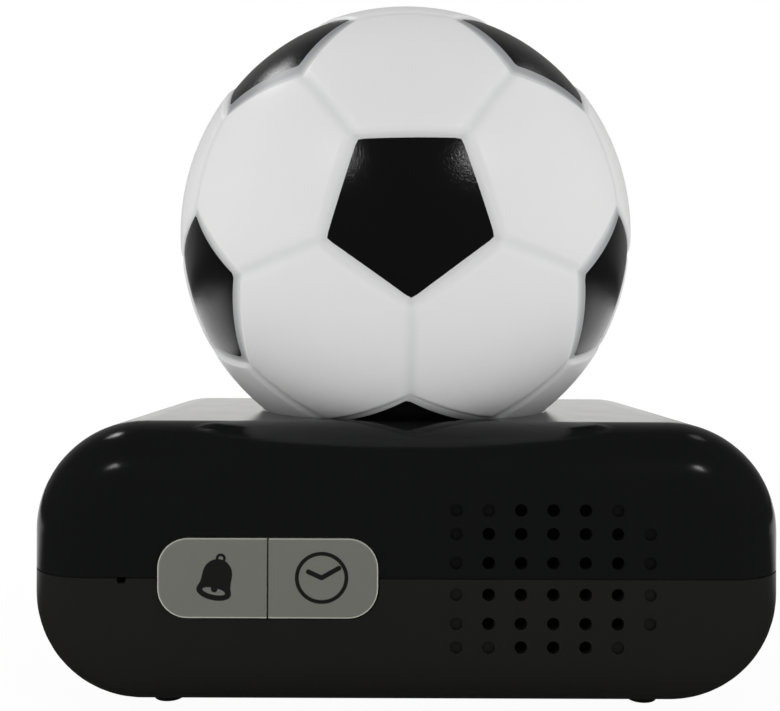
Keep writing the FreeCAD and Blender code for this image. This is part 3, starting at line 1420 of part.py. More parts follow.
def side_plate(y0):
    """Return one side plate of the chassis: an eye round the axle that widens to the tray."""
    turn = math.radians(TRAY_HALF_ANGLE)
    foot = (TRAY_RADIUS * math.sin(turn), -TRAY_RADIUS * math.cos(turn))
    eye = PLATE_EYE_RADIUS
    edges = [
        arc_edge((0, 0), eye, 0, 180, y0),
        line_edge((-eye, 0), (-foot[0], foot[1]), y0),
        arc_edge((0, 0), TRAY_RADIUS, -90 - TRAY_HALF_ANGLE, -90 + TRAY_HALF_ANGLE, y0),
        line_edge(foot, (eye, 0), y0),
    ]
    plate = Part.Face(Part.Wire(edges)).extrude(Vector(0, PLATE_THICKNESS, 0))
    plate.translate(BALL_CENTRE)
    return plate


def drive_block(x0, x1, y0, y1, z0, z1):
    """Return a box measured from the ball's centre."""
    return block(BALL_CENTRE + Vector(x0, y0, z0), BALL_CENTRE + Vector(x1, y1, z1))


def ballast_screw_points():
    """Return where the ballast's two screws leave the tray, and their directions."""
    result = []
    for side in (-1, 1):
        turn = math.radians(BALLAST_SCREW_ANGLE) * side
        direction = Vector(math.sin(turn), 0, -math.cos(turn))
        result.append((BALL_CENTRE + direction * TRAY_RADIUS, direction))
    return result


def cradle_walls(side, span):
    """Return the two walls that hold one cell on the tray."""
    near = side * CRADLE_X
    far = side * (CRADLE_X + CRADLE_WALL)
    low = -math.sqrt(TRAY_INNER_RADIUS ** 2 - CRADLE_X ** 2) - TRAY_WALL / 2
    inner_wall = drive_block(min(near, far), max(near, far), -span, span, low, low + CRADLE_HEIGHT)
    near = side * LIP_X
    far = side * (LIP_X + LIP_WALL)
    low = -TRAY_RADIUS * math.cos(math.radians(TRAY_HALF_ANGLE))
    lip = drive_block(min(near, far), max(near, far), -span, span, low, low + LIP_HEIGHT)
    return [inner_wall, lip]


def receiver_ledge(side, span):
    """Return the ledge on one side plate that carries the receiver board."""
    edge = PLATE_INNER_Y - LEDGE_DEPTH
    y0 = min(side * span, side * edge)
    y1 = max(side * span, side * edge)
    return drive_block(-LEDGE_WIDTH / 2, LEDGE_WIDTH / 2, y0, y1, RECEIVER_Z - LEDGE_THICKNESS, RECEIVER_Z)


def plate_hole(x, z, radius):
    """Return a hole through the rear side plate."""
    start = BALL_CENTRE + Vector(x, PLATE_INNER_Y - CUT_OVERRUN, z)
    return rod(start, Y_AXIS, radius, PLATE_THICKNESS + 2 * CUT_OVERRUN)


def drive_chassis():
    """Return the moulded frame that hangs on the axle and carries the drive."""
    span = PLATE_INNER_Y + PLATE_THICKNESS / 2
    shapes = [side_plate(-PLATE_OUTER_Y), side_plate(PLATE_INNER_Y)]
    shapes.append(sector(TRAY_INNER_RADIUS, TRAY_RADIUS, TRAY_HALF_ANGLE, -PLATE_OUTER_Y, PLATE_OUTER_Y))
    for side in (-1, 1):
        shapes += cradle_walls(side, span)
        shapes.append(receiver_ledge(side, span))
    body = fused(shapes)
    width = 2 * (PLATE_OUTER_Y + CUT_OVERRUN)
    removed = [rod(centre_line(-width / 2, 0), Y_AXIS, BUSH_RADIUS + PRESS_CLEARANCE, width)]
    removed.append(plate_hole(0, MOTOR_Z, MOTOR_NOSE_RADIUS + PRESS_CLEARANCE))
    removed.append(plate_hole(0, IDLER_Z, IDLER_PIN_RADIUS + PRESS_CLEARANCE))
    hole = SMALL_SCREW_RADIUS + SCREW_CLEARANCE
    removed += [plate_hole(side * MOTOR_SCREW_X, MOTOR_Z, hole) for side in (-1, 1)]
    for point, direction in ballast_screw_points():
        removed.append(rod(point + direction, -direction, hole, TRAY_WALL + 2 * CUT_OVERRUN))
    return body.cut(removed)


def axle_bushes():
    """Return the two flanged bushes that run on the axle."""
    shapes = []
    for side in (-1, 1):
        axis = Y_AXIS * side
        start = BALL_CENTRE + axis * PLATE_INNER_Y
        barrel = rod(start, axis, BUSH_RADIUS, PLATE_THICKNESS + BUSH_FLANGE_THICKNESS)
        flange = rod(BALL_CENTRE + axis * PLATE_OUTER_Y, axis, BUSH_FLANGE_RADIUS, BUSH_FLANGE_THICKNESS)
        length = PLATE_THICKNESS + BUSH_FLANGE_THICKNESS + 2 * CUT_OVERRUN
        bore = rod(start - axis * CUT_OVERRUN, axis, AXLE_RADIUS + RUNNING_CLEARANCE, length)
        shapes.append(fused([barrel, flange]).cut(bore))
    return group(shapes)


def drive_motor():
    """Return the flat-sided motor can with its bearing nose."""
    start = centre_line(PLATE_INNER_Y - MOTOR_LENGTH, MOTOR_Z)
    can = rod(start, Y_AXIS, MOTOR_RADIUS, MOTOR_LENGTH)
    flats = drive_block(
        -MOTOR_RADIUS,
        MOTOR_RADIUS,
        PLATE_INNER_Y - MOTOR_LENGTH,
        PLATE_INNER_Y,
        MOTOR_Z - MOTOR_HALF_FLAT,
        MOTOR_Z + MOTOR_HALF_FLAT,
    )
    root = PLATE_INNER_Y - MOTOR_NOSE_LENGTH
    nose = rod(centre_line(root, MOTOR_Z), Y_AXIS, MOTOR_NOSE_RADIUS, 2 * MOTOR_NOSE_LENGTH)
    body = fused([can.common(flats), nose])
    length = MOTOR_LENGTH + MOTOR_NOSE_LENGTH + 2 * CUT_OVERRUN
    bores = [rod(start - Y_AXIS * CUT_OVERRUN, Y_AXIS, MOTOR_SHAFT_RADIUS + RUNNING_CLEARANCE, length)]
    for side in (-1, 1):
        mouth = BALL_CENTRE + Vector(side * MOTOR_SCREW_X, PLATE_INNER_Y, MOTOR_Z)
        bores.append(rod(mouth, -Y_AXIS, SMALL_SCREW_RADIUS + SCREW_CLEARANCE, SMALL_SCREW_BITE))
    return body.cut(bores)


def motor_shaft():
    """Return the motor's shaft, from its tail to the pinion."""
    start_y = PLATE_INNER_Y - MOTOR_LENGTH - MOTOR_TAIL
    length = FAST_GEAR_Y + FAST_FACE + AXIAL_GAP - start_y
    return rod(centre_line(start_y, MOTOR_Z), Y_AXIS, MOTOR_SHAFT_RADIUS, length)


def motor_screws():
    """Return the two screws that hold the motor to the rear plate."""
    length = PLATE_THICKNESS + SMALL_SCREW_BITE - PART_GAP
    seats = [BALL_CENTRE + Vector(side * MOTOR_SCREW_X, PLATE_OUTER_Y, MOTOR_Z) for side in (-1, 1)]
    return group([small_screw(seat, -Y_AXIS, length) for seat in seats])


def idler_pin():
    """Return the fixed pin that the compound gear turns on."""
    length = CLIP_Y + CLIP_THICKNESS + AXIAL_GAP - PLATE_INNER_Y
    return rod(centre_line(PLATE_INNER_Y, IDLER_Z), Y_AXIS, IDLER_PIN_RADIUS, length)


def idler_clip():
    """Return the clip that keeps the compound gear on its pin."""
    start = centre_line(CLIP_Y, IDLER_Z)
    return tube(start, Y_AXIS, CLIP_RADIUS, IDLER_PIN_RADIUS + PRESS_CLEARANCE, CLIP_THICKNESS)


def ballast():
    """Return the curved steel weight under the tray."""
    inner = TRAY_RADIUS + BALLAST_GAP
    half = BALLAST_LENGTH / 2
    body = sector(inner, inner + BALLAST_THICKNESS, BALLAST_HALF_ANGLE, -half, half)
    hole = SMALL_SCREW_RADIUS + RECESS_CLEARANCE
    head = SMALL_SCREW_HEAD_RADIUS + RECESS_CLEARANCE
    removed = []
    for point, direction in ballast_screw_points():
        removed.append(rod(point, direction, hole, BALLAST_GAP + BALLAST_THICKNESS + CUT_OVERRUN))
        sink = point + direction * (BALLAST_GAP + BALLAST_THICKNESS / 2)
        removed.append(rod(sink, direction, head, BALLAST_THICKNESS))
    return body.cut(removed)


def ballast_screws():
    """Return the two sunk screws of the ballast."""
    shapes = []
    sink = BALLAST_GAP + BALLAST_THICKNESS / 2
    length = sink + TRAY_WALL - AXIAL_GAP
    for point, direction in ballast_screw_points():
        seat = point + direction * sink
        shapes.append(small_screw(seat, -direction, length))
    return group(shapes)


def ball_batteries():
    """Return the two cells of the drive unit."""
    shapes = []
    for side in (-1, 1):
        start = BALL_CENTRE + Vector(side * BALL_CELL_X, -side * CELL_LENGTH / 2, BALL_CELL_Z)
        shapes.append(cell(start, Y_AXIS * side))
    return group(shapes)


def ball_battery_contacts():
    """Return the sheet contacts at the cells' ends."""
    shapes = []
    near = CELL_LENGTH / 2 + LIP_GAP
    far = near + CONTACT_THICKNESS
    half = BALL_CONTACT_SIZE / 2
    for x in (-BALL_CELL_X, BALL_CELL_X):
        for y0, y1 in ((near, far), (-far, -near)):
            shapes.append(drive_block(x - half, x + half, y0, y1, BALL_CELL_Z - half, BALL_CELL_Z + half))
    return group(shapes)


def receiver_board():
    """Return the small circuit board over the motor."""
    half_x = RECEIVER_WIDTH / 2
    half_y = PLATE_INNER_Y - PART_GAP
    return drive_block(-half_x, half_x, -half_y, half_y, RECEIVER_Z, RECEIVER_Z + RECEIVER_THICKNESS)


def receiver_components():
    """Return the parts that stand on the receiver board."""
    top = centre_line(0, RECEIVER_Z + RECEIVER_THICKNESS)
    shapes = [standing_chip(top, RECEIVER_CHIP_SIZE)]
    coil = top + Y_AXIS * AERIAL_COIL_Y
    shapes.append(tube(coil, Z_AXIS, AERIAL_COIL_RADIUS, AERIAL_COIL_BORE, AERIAL_COIL_HEIGHT))
    for side in (-1, 1):
        place = top + Vector(side * RECEIVER_CAN_X, RECEIVER_CAN_Y, 0)
        shapes.append(rod(place, Z_AXIS, RECEIVER_CAN_RADIUS, RECEIVER_CAN_HEIGHT))
    return group(shapes)


# ---------------------------------------------------------------- all pieces

PIECES = {
    "upper_case": upper_case,
    "lower_case": lower_case,
    "case_screws": case_screws,
    "feet": feet,
    "alarm_set_button": lambda: set_button(-1),
    "time_set_button": lambda: set_button(1),
    "alarm_switch_stem": lambda: switch_stem(-1),
    "time_switch_stem": lambda: switch_stem(1),
    "switch_bodies": switch_bodies,
    "key_board": key_board,
    "key_board_screws": key_board_screws,
    "speaker_frame": speaker_frame,
    "speaker_magnet": speaker_magnet,
    "speaker_cone": speaker_cone,
    "speaker_screws": speaker_screws,
    "display_lens": display_lens,
    "lcd_panel": lcd_panel,
    "backlight_panel": backlight_panel,
    "lcd_frame": lcd_frame,
    "lcd_screws": lcd_screws,
    "display_ribbon": display_ribbon,
    "main_board": main_board,
    "board_components": board_components,
    "main_board_screws": main_board_screws,
    "dock_plunger": dock_plunger,
    "dock_switch_button": dock_switch_button,
    "dock_switch": dock_switch,
    "dock_bracket": dock_bracket,
    "dock_screws": dock_screws,
    "base_batteries": base_batteries,
    "battery_contacts": battery_contacts,
    "battery_door": battery_door,
    "ball_front_half": lambda: ball_half(True),
    "ball_rear_half": lambda: ball_half(False),
    "join_ring": join_ring,
    "ball_axle": ball_axle,
    "axle_collar": axle_collar,
    "fixed_gear": fixed_gear,
    "drive_chassis": drive_chassis,
    "axle_bushes": axle_bushes,
    "drive_motor": drive_motor,
    "motor_screws": motor_screws,
    "motor_shaft": motor_shaft,
    "motor_pinion": motor_pinion,
    "compound_gear": compound_gear,
    "idler_pin": idler_pin,
    "idler_clip": idler_clip,
    "ballast": ballast,
    "ballast_screws": ballast_screws,
    "ball_batteries": ball_batteries,
    "ball_battery_contacts": ball_battery_contacts,
    "receiver_board": receiver_board,
    "receiver_components": receiver_components,
}


def main():
    """Write one STEP file for each piece."""
    os.makedirs("parts", exist_ok=True)
    for name, make in PIECES.items():
        shape = make()
        shape.exportStep(os.path.join("parts", name + ".step"))
        print(name, len(shape.Solids), shape.isValid(), round(shape.Volume, 1))


main()
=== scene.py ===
"""Looks of a runaway alarm clock: a football with its own drive, docked in a glossy desk base.

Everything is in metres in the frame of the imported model, with +Z up and the side that has the
two keys and the speaker grille facing -Y. Sizes of small details are given in millimetres and
turned into metres with MM.
"""

import itertools
import json
import logging
import math
from dataclasses import dataclass
from enum import Enum
from typing import Callable, Iterable, Sequence, Union

import bmesh
import bpy
import numpy as np
from bmesh.types import BMesh, BMVert
from bpy.types import Material, Mesh, NodeSocket, NodeTree, Object
from mathutils import Euler, Matrix, Vector


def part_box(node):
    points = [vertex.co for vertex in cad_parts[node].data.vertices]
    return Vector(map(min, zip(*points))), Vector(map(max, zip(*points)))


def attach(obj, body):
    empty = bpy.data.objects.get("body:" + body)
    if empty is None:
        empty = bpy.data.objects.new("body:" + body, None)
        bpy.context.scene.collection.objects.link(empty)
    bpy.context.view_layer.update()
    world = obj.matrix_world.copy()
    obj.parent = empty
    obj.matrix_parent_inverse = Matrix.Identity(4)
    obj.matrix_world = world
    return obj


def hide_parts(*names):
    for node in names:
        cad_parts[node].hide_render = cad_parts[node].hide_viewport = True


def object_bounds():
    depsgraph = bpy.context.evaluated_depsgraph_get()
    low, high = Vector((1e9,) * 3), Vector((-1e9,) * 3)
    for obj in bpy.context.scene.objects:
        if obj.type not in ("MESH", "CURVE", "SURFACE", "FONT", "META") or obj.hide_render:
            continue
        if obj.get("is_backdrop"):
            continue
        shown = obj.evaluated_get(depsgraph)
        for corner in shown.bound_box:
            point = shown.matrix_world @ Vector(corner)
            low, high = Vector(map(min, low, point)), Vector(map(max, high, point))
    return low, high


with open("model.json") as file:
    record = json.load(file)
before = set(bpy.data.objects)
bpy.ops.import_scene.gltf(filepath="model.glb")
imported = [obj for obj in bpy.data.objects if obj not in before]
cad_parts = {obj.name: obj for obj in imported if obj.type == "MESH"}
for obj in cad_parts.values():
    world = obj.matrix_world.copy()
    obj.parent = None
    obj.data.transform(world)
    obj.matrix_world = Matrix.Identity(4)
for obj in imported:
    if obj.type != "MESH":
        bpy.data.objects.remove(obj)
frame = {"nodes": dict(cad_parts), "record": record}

MM = 0.001
FAR = 1000.0  # millimetres, further than anything on the object
WELD = 1e-5  # points of a shape nearer than this are merged
TOUCH = 1e-6  # points nearer than this are the same
RIGHT, FRONT, UP = Vector((1, 0, 0)), Vector((0, -1, 0)), Vector((0, 0, 1))
Pair = tuple[float, float]
Triple = tuple[float, float, float]
Value = Union["Signal", float]
log = logging.getLogger("alarm_clock")


# --- node trees ---


def math_method(operation: str, flipped: bool = False) -> Callable[..., "Signal"]:
    """Make a method of Signal that adds a Math node.

    Args:
        operation: What the node does.
        flipped: Whether the other value comes before the signal.

    Returns:
        The method.
    """

    def method(signal: "Signal", *others: Value) -> "Signal":
        """Return what the operation makes of the signal and the other values."""
        values = (*others, signal) if flipped else (signal, *others)
        return signal.tree.node("ShaderNodeMath", {"operation": operation}, dict(enumerate(values)))

    return method


class Signal:
    """An output socket of a node tree that takes part in arithmetic by adding Math nodes."""

    __add__ = math_method("ADD")
    __radd__ = math_method("ADD", flipped=True)
    __sub__ = math_method("SUBTRACT")
    __rsub__ = math_method("SUBTRACT", flipped=True)
    __mul__ = math_method("MULTIPLY")
    __rmul__ = math_method("MULTIPLY", flipped=True)
    __truediv__ = math_method("DIVIDE")
    least = math_method("MINIMUM")
    most = math_method("MAXIMUM")
    absolute = math_method("ABSOLUTE")

    def __init__(self, tree: "Tree", socket: NodeSocket) -> None:
        """Keep the tree and the socket that carries the value."""
        self.tree = tree
        self.socket = socket

    def step(self, low: Value, high: Value) -> "Signal":
        """Return a smooth step from 0 at low to 1 at high."""
        inputs = {"Value": self, "From Min": low, "From Max": high}
        return self.tree.node("ShaderNodeMapRange", {"interpolation_type": "SMOOTHSTEP"}, inputs)


class Tree:
    """Adds nodes to a shader, world or geometry node tree."""

    def __init__(self, nodes: NodeTree) -> None:
        """Keep the tree that the nodes are added to."""
        self.nodes = nodes

    def node(
        self,
        kind: str,
        settings: dict | None = None,
        inputs: dict | None = None,
        output: int | str = 0,
    ) -> Signal | None:
        """Add one node.

        Args:
            kind: The node's Blender type.
            settings: Properties of the node, set before its inputs.
            inputs: Values or signals by socket name or number.
            output: Name or number of the output to return.

        Returns:
            The chosen output of the new node, or None where it has no outputs.
        """
        made = self.nodes.nodes.new(kind)
        for name, value in (settings or {}).items():
            setattr(made, name, value)
        for key, value in (inputs or {}).items():
            if isinstance(value, Signal):
                self.nodes.links.new(value.socket, made.inputs[key])
            else:
                made.inputs[key].default_value = value
        return Signal(self, made.outputs[output]) if len(made.outputs) else None

    def place(self, stretch: Triple = (1.0, 1.0, 1.0)) -> Signal:
        """Return object coordinates, scaled by stretch."""
        here = self.node("ShaderNodeTexCoord", output="Object")
        return self.node("ShaderNodeMapping", {}, {"Vector": here, "Scale": stretch})

    def noise(self, where: Signal, size: float, detail: float = 3.0) -> Signal:
        """Return noise from 0 to 1 whose blotches are about size metres wide."""
        inputs = {"Vector": where, "Scale": 1.0 / size, "Detail": detail}
        return self.node("ShaderNodeTexNoise", {}, inputs, output="Fac")

    def blend(self, share: Value, low: Triple | Signal, high: Triple | Signal) -> Signal:
        """Mix two colours.

        Args:
            share: How much of the second colour there is, from 0 to 1.
            low: The first colour.
            high: The second colour.

        Returns:
            The mixed colour.
        """
        first, second = (end if isinstance(end, Signal) else (*end, 1.0) for end in (low, high))
        settings = {"data_type": "RGBA", "clamp_factor": True}
        return self.node("ShaderNodeMix", settings, {0: share, 6: first, 7: second}, output=2)

    def attribute(self, name: str) -> Signal:
        """Return the value that a mesh attribute has on the surface."""
        return self.node("ShaderNodeAttribute", {"attribute_name": name}, output="Fac")

    def turned_away(self) -> Signal:
        """Return 0 where the surface faces the eye, rising to 1 at its outline."""
        return self.node("ShaderNodeLayerWeight", {}, {"Blend": 0.5}, output="Facing")

    def axes(self, vector: Signal) -> tuple[Signal, ...]:
        """Return the three parts of a vector."""
        parts = ("ShaderNodeSeparateXYZ", {}, {"Vector": vector})
        return tuple(self.node(*parts, output=axis) for axis in "XYZ")

    def ray(self, kind: str) -> Signal:
        """Return 1 for rays of one kind and 0 for the others."""
        return self.node("ShaderNodeLightPath", output=kind)

    def in_sight(self) -> Signal:
        """Return 1 for rays that see a surface straight or through glass, and 0 for the others."""
        return self.ray("Is Camera Ray").most(self.ray("Is Transmission Ray"))


def shader_tree(name: str) -> tuple[Material, Tree]:
    """Make a material with an empty node tree.

    Args:
        name: The material's name.

    Returns:
        The material and its tree.
    """
    made = bpy.data.materials.new(name)
    made.use_nodes = True
    made.node_tree.nodes.clear()
    return made, Tree(made.node_tree)


# --- finishes ---


class Grain(Enum):
    """Directions in which the marks of a surface run, as scales along X, Y and Z."""

    EVEN = (1.0, 1.0, 1.0)
    ALONG_X = (0.04, 1.0, 1.0)
    ALONG_Y = (1.0, 0.04, 1.0)
    ROUND_Y = (1.0, 12.0, 1.0)


@dataclass(frozen=True)
class Finish:
    """A moulded, turned, painted or printed surface; its lengths are in millimetres."""

    colour: Triple
    roughness: float
    metallic: float = 0.0
    specular: float = 0.5
    coat: float = 0.0
    grain: Grain = Grain.EVEN
    grain_size: float = 0.3
    relief: float = 0.002
    mottle: float = 0.06
    smear: float = 0.03
    smear_size: float = 9.0
    # The rim is a painted highlight: the colour is made lighter by this share towards the outline.
    rim: float = 0.0
    rim_highlight_span: Pair = (0.06, 0.6)
    alpha: float = 1.0

    def material(self, name: str) -> Material:
        """Make the node material of this finish.

        Args:
            name: The material's name.

        Returns:
            The new material.
        """
        made, tree = shader_tree(name)
        shader = tree.node("ShaderNodeBsdfPrincipled", {}, self.sockets(tree))
        tree.node("ShaderNodeOutputMaterial", {}, {"Surface": shader})
        return made

    def sockets(self, tree: Tree) -> dict:
        """Work out the shader's inputs, with the grain, mottling, smears and a painted rim
        highlight.

        Args:
            tree: The material's tree.

        Returns:
            The inputs by socket name.
        """
        where = tree.place(self.grain.value)
        fine = tree.noise(where, self.grain_size * MM)
        broad = tree.noise(where, self.smear_size * MM, detail=2.0)
        darker, lighter = self._tinted(1.0 - self.mottle), self._tinted(1.0 + self.mottle)
        colour = tree.blend(0.5 * (fine + broad), darker, lighter)
        # Painted highlight: lighter colour towards the outline, where the surface turns away.
        if self.rim:
            outline = tree.turned_away().step(*self.rim_highlight_span)
            colour = tree.blend(outline, colour, self._tinted(1.0 + self.rim))
        bump = {"Distance": self.relief * MM, "Height": fine}
        return {
            "Base Color": colour,
            "Roughness": self.roughness - self.smear + 2.0 * self.smear * broad,
            "Metallic": self.metallic,
            "Specular IOR Level": self.specular,
            "Coat Weight": self.coat,
            "Alpha": self.alpha,
            "Normal": tree.node("ShaderNodeBump", {}, bump),
        }

    def _tinted(self, factor: float) -> Triple:
        """Return the colour made darker or lighter."""
        return tuple(min(1.0, part * factor) for part in self.colour)


@dataclass(frozen=True)
class PaintedBall(Finish):
    """White ball plastic with glossy black paint where the mesh's paint attribute is positive."""

    paint: Triple = (0.005, 0.005, 0.005)
    paint_roughness: float = 0.14
    paint_smear: float = 0.06
    paint_edge: Pair = (-0.02, 0.03)
    paint_relief: float = 0.012
    ragged: float = 0.05
    ragged_size: float = 0.5
    paint_grain: float = 0.3
    pebble: float = 3.0
    # The channel is painted shade: greyer colour along the seams between the hexagons.
    channel: float = 0.2
    seam_shade_colour: Triple = (0.5, 0.51, 0.54)
    seam_shade_reach: float = 1.6
    # The border is painted shade: grey round each painted pentagon in its sunk border, more towards
    # the outline.
    border_shade: float = 0.32
    border_shade_at_outline: float = 1.0
    border_shade_colour: Triple = (0.3, 0.305, 0.32)
    border_shade_span: Pair = (-1.6, 1.1)

    def sockets(self, tree: Tree) -> dict:
        """Work out the inputs of plastic and paint, with the ragged edge and painted shade at seams
        and borders.

        Args:
            tree: The material's tree.

        Returns:
            The inputs by socket name.
        """
        sockets = super().sockets(tree)
        where = tree.place()
        wobble = tree.noise(where, self.ragged_size * MM) - 0.5
        mask = (tree.attribute("paint") + 2.0 * self.ragged * wobble).step(*self.paint_edge)
        pebble = tree.noise(where, self.paint_grain * MM, detail=2.0)
        gloss = self.paint_roughness + self.paint_smear * pebble
        # Painted shade: greyer colour along the seams.
        deep = self.channel * (1.0 - tree.attribute("seam").step(0.0, self.seam_shade_reach))
        shaded = tree.blend(deep, sockets["Base Color"], self.seam_shade_colour)
        # Painted shade: a grey border round each pentagon, stronger where the surface turns away.
        outside = 0.0 - tree.attribute("edge")
        border_shade = (self.border_shade + self.border_shade_at_outline * tree.turned_away()).least(1.0)
        border_shade = border_shade * (1.0 - outside.step(*self.border_shade_span))
        shaded = tree.blend(border_shade, shaded, self.border_shade_colour)
        sockets["Base Color"] = tree.blend(mask, shaded, self.paint)
        sockets["Roughness"] = mask * gloss + (1.0 - mask) * sockets["Roughness"]
        height = mask * (1.0 + self.pebble * pebble)
        bump = {"Distance": self.paint_relief * MM, "Height": height, "Normal": sockets["Normal"]}
        sockets["Normal"] = tree.node("ShaderNodeBump", {}, bump)
        return sockets


FINISHES: dict[str, Finish] = {
    "case_gloss": Finish((0.0072, 0.0076, 0.0075), 0.15, specular=0.17, relief=0.0004, smear=0.02),
    "case_satin": Finish((0.0142, 0.014, 0.0126), 0.3, specular=0.4, grain_size=0.16, relief=0.004),
    # The keys' rim is a painted highlight, lighter colour along their outline.
    "key_grey": Finish(
        (0.174, 0.178, 0.153), 0.42, grain_size=0.12, relief=0.003, mottle=0.04, rim=3.2
    ),
    "foot_rubber": Finish((0.012, 0.012, 0.012), 0.75, specular=0.3, relief=0.01),
    "ball_white": PaintedBall((0.8, 0.805, 0.81), 0.36, relief=0.0015, mottle=0.015),
    "lens_smoke": Finish((0.02, 0.022, 0.023), 0.05, relief=0.0002, mottle=0.03, alpha=0.4),
    "lcd_glass": Finish((0.34, 0.38, 0.31), 0.18, grain_size=0.05, relief=0.0005, mottle=0.03),
    "light_guide": Finish((0.82, 0.84, 0.82), 0.25, mottle=0.02),
    "frame_black": Finish((0.03, 0.03, 0.031), 0.42, relief=0.004),
    "chassis_grey": Finish((0.22, 0.23, 0.245), 0.45, relief=0.004, mottle=0.05),
    "gear_nylon": Finish((0.74, 0.73, 0.66), 0.38, relief=0.002, mottle=0.03),
    "board_green": Finish((0.02, 0.115, 0.05), 0.32, coat=0.3, grain_size=0.5, mottle=0.2),
    "ink_black": Finish((0.0105, 0.0105, 0.01), 0.45, grain_size=0.1, relief=0.002),
    "chip_black": Finish((0.022, 0.022, 0.023), 0.5, grain_size=0.1, relief=0.004, mottle=0.12),
    "ribbon_film": Finish((0.7, 0.66, 0.56), 0.3, grain=Grain.ALONG_Y, mottle=0.06),
    "steel": Finish((0.6, 0.6, 0.61), 0.28, 1.0, grain=Grain.ALONG_X, grain_size=0.08),
    "brass_turned": Finish((0.76, 0.58, 0.27), 0.25, 1.0, grain=Grain.ROUND_Y, grain_size=0.2),
    "magnet_dark": Finish((0.085, 0.085, 0.09), 0.5, grain_size=0.25, relief=0.01, mottle=0.2),
    "cone_paper": Finish((0.03, 0.03, 0.031), 0.8, specular=0.2, relief=0.03, mottle=0.25),
    "cell_jacket": Finish((0.09, 0.16, 0.3), 0.25, coat=0.5, mottle=0.05),
}


class Wardrobe:
    """Makes each finish's material once and hands it out by slot."""

    def __init__(self) -> None:
        """Start with no materials made."""
        self.made: dict[str, Material] = {}

    def material(self, slot: str) -> Material:
        """Return the material of a slot."""
        if slot not in self.made:
            self.made[slot] = FINISHES[slot].material(slot)
        return self.made[slot]

    def dress(self, node: str, slot: str) -> None:
        """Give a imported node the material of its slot.

        Args:
            node: The node's name.
            slot: The material slot.
        """
        piece = frame["nodes"][node]
        piece.data.materials.clear()
        piece.data.materials.append(self.material(slot))
        log.info("dressed %s in %s", node, slot)


# --- meshes ---


def in_scene(name: str, data: bpy.types.ID) -> Object:
    """Return a new object of the data, put into the scene."""
    made = bpy.data.objects.new(name, data)
    bpy.context.scene.collection.objects.link(made)
    return made


def add_piece(
    name: str, mesh: Mesh, body: str, stands_for: Sequence[str] = ()
) -> None:
    """Put a finished mesh into the scene as a piece of the object.

    Args:
        name: The piece's name.
        mesh: Its mesh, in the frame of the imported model.
        body: The body it moves with.
        stands_for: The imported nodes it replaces.
    """
    piece = in_scene(name, mesh)
    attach(piece, body)
    if stands_for:
        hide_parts(*stands_for)
    log.info("made %s on %s with %d faces", name, body, len(mesh.polygons))


def shade(mesh: Mesh, angle: float = 35.0) -> None:
    """Shade a mesh smooth, apart from edges sharper than angle in degrees."""
    mesh.polygons.foreach_set("use_smooth", [True] * len(mesh.polygons))
    mesh.set_sharp_from_angle(angle=math.radians(angle))


class Recipe:
    """A Geometry Nodes tree with named sizes that turns one mesh into another."""

    def __init__(self, name: str, sizes: dict[str, float]) -> None:
        """Start a tree.

        Args:
            name: The tree's name.
            sizes: Its named inputs and their values.
        """
        self.group = bpy.data.node_groups.new(name, "GeometryNodeTree")
        self.tree = Tree(self.group)
        self.sizes = sizes
        sockets = [("Geometry", "OUTPUT", "NodeSocketGeometry")]
        sockets += [("Geometry", "INPUT", "NodeSocketGeometry")]
        sockets += [(label, "INPUT", "NodeSocketFloat") for label in sizes]
        for label, way, kind in sockets:
            self.group.interface.new_socket(label, in_out=way, socket_type=kind)
        self.start = self.group.nodes.new("NodeGroupInput")

    def given(self, label: str) -> Signal:
        """Return a named size, or the mesh that goes in, which is named Geometry."""
        return Signal(self.tree, self.start.outputs[label])

    def stored(self, name: str, kind: str = "FLOAT") -> Signal:
        """Return an attribute of the mesh."""
        settings = {"data_type": kind}
        return self.tree.node("GeometryNodeInputNamedAttribute", settings, {"Name": name})

    def finish(self, geometry: Signal, material: Material) -> None:
        """Close the tree: instances become real faces and take the material.

        Args:
            geometry: What the tree has made.
            material: The material it takes.
        """
        real = self.tree.node("GeometryNodeRealizeInstances", {}, {"Geometry": geometry})
        inputs = {"Geometry": real, "Material": material}
        dressed = self.tree.node("GeometryNodeSetMaterial", {}, inputs)
        self.tree.node("NodeGroupOutput", {}, {"Geometry": dressed})

    def make(self, mesh: Mesh) -> Mesh:
        """Run the tree on a mesh.

        Args:
            mesh: The mesh that goes in.

        Returns:
            The plain mesh that comes out.
        """
        host = in_scene(self.group.name, mesh)
        modifier = host.modifiers.new(self.group.name, "NODES")
        modifier.node_group = self.group
        for item in self.group.interface.items_tree:
            if item.item_type == "SOCKET" and item.in_out == "INPUT" and item.name in self.sizes:
                modifier[item.identifier] = self.sizes[item.name]
        view = bpy.context.evaluated_depsgraph_get()
        made = bpy.data.meshes.new_from_object(host.evaluated_get(view))
        host.modifiers.remove(modifier)
        bpy.data.objects.remove(host)
        return made


# --- flat and turned shapes ---


def ellipse(centre: Pair, half_width: float, half_height: float, steps: int = 40) -> np.ndarray:
    """Return the points of an ellipse."""
    angles = np.linspace(0.0, math.tau, steps, endpoint=False)
    return np.stack((half_width * np.cos(angles), half_height * np.sin(angles)), axis=1) + centre


def capsule(start: Pair, end: Pair, radius: float, steps: int = 12) -> np.ndarray:
    """Return the outline of a straight stroke with round ends.

    Args:
        start: The middle of its first round end.
        end: The middle of its last round end.
        radius: Half its width.
        steps: The number of points on each round end.

    Returns:
        The outline's points.
    """
    heading = math.atan2(end[1] - start[1], end[0] - start[0])
    points = []
    for (across, up), first in ((end, heading - math.pi / 2), (start, heading + math.pi / 2)):
        for angle in np.linspace(first, first + math.pi, steps):
            points.append((across + radius * math.cos(angle), up + radius * math.sin(angle)))
    return np.array(points)


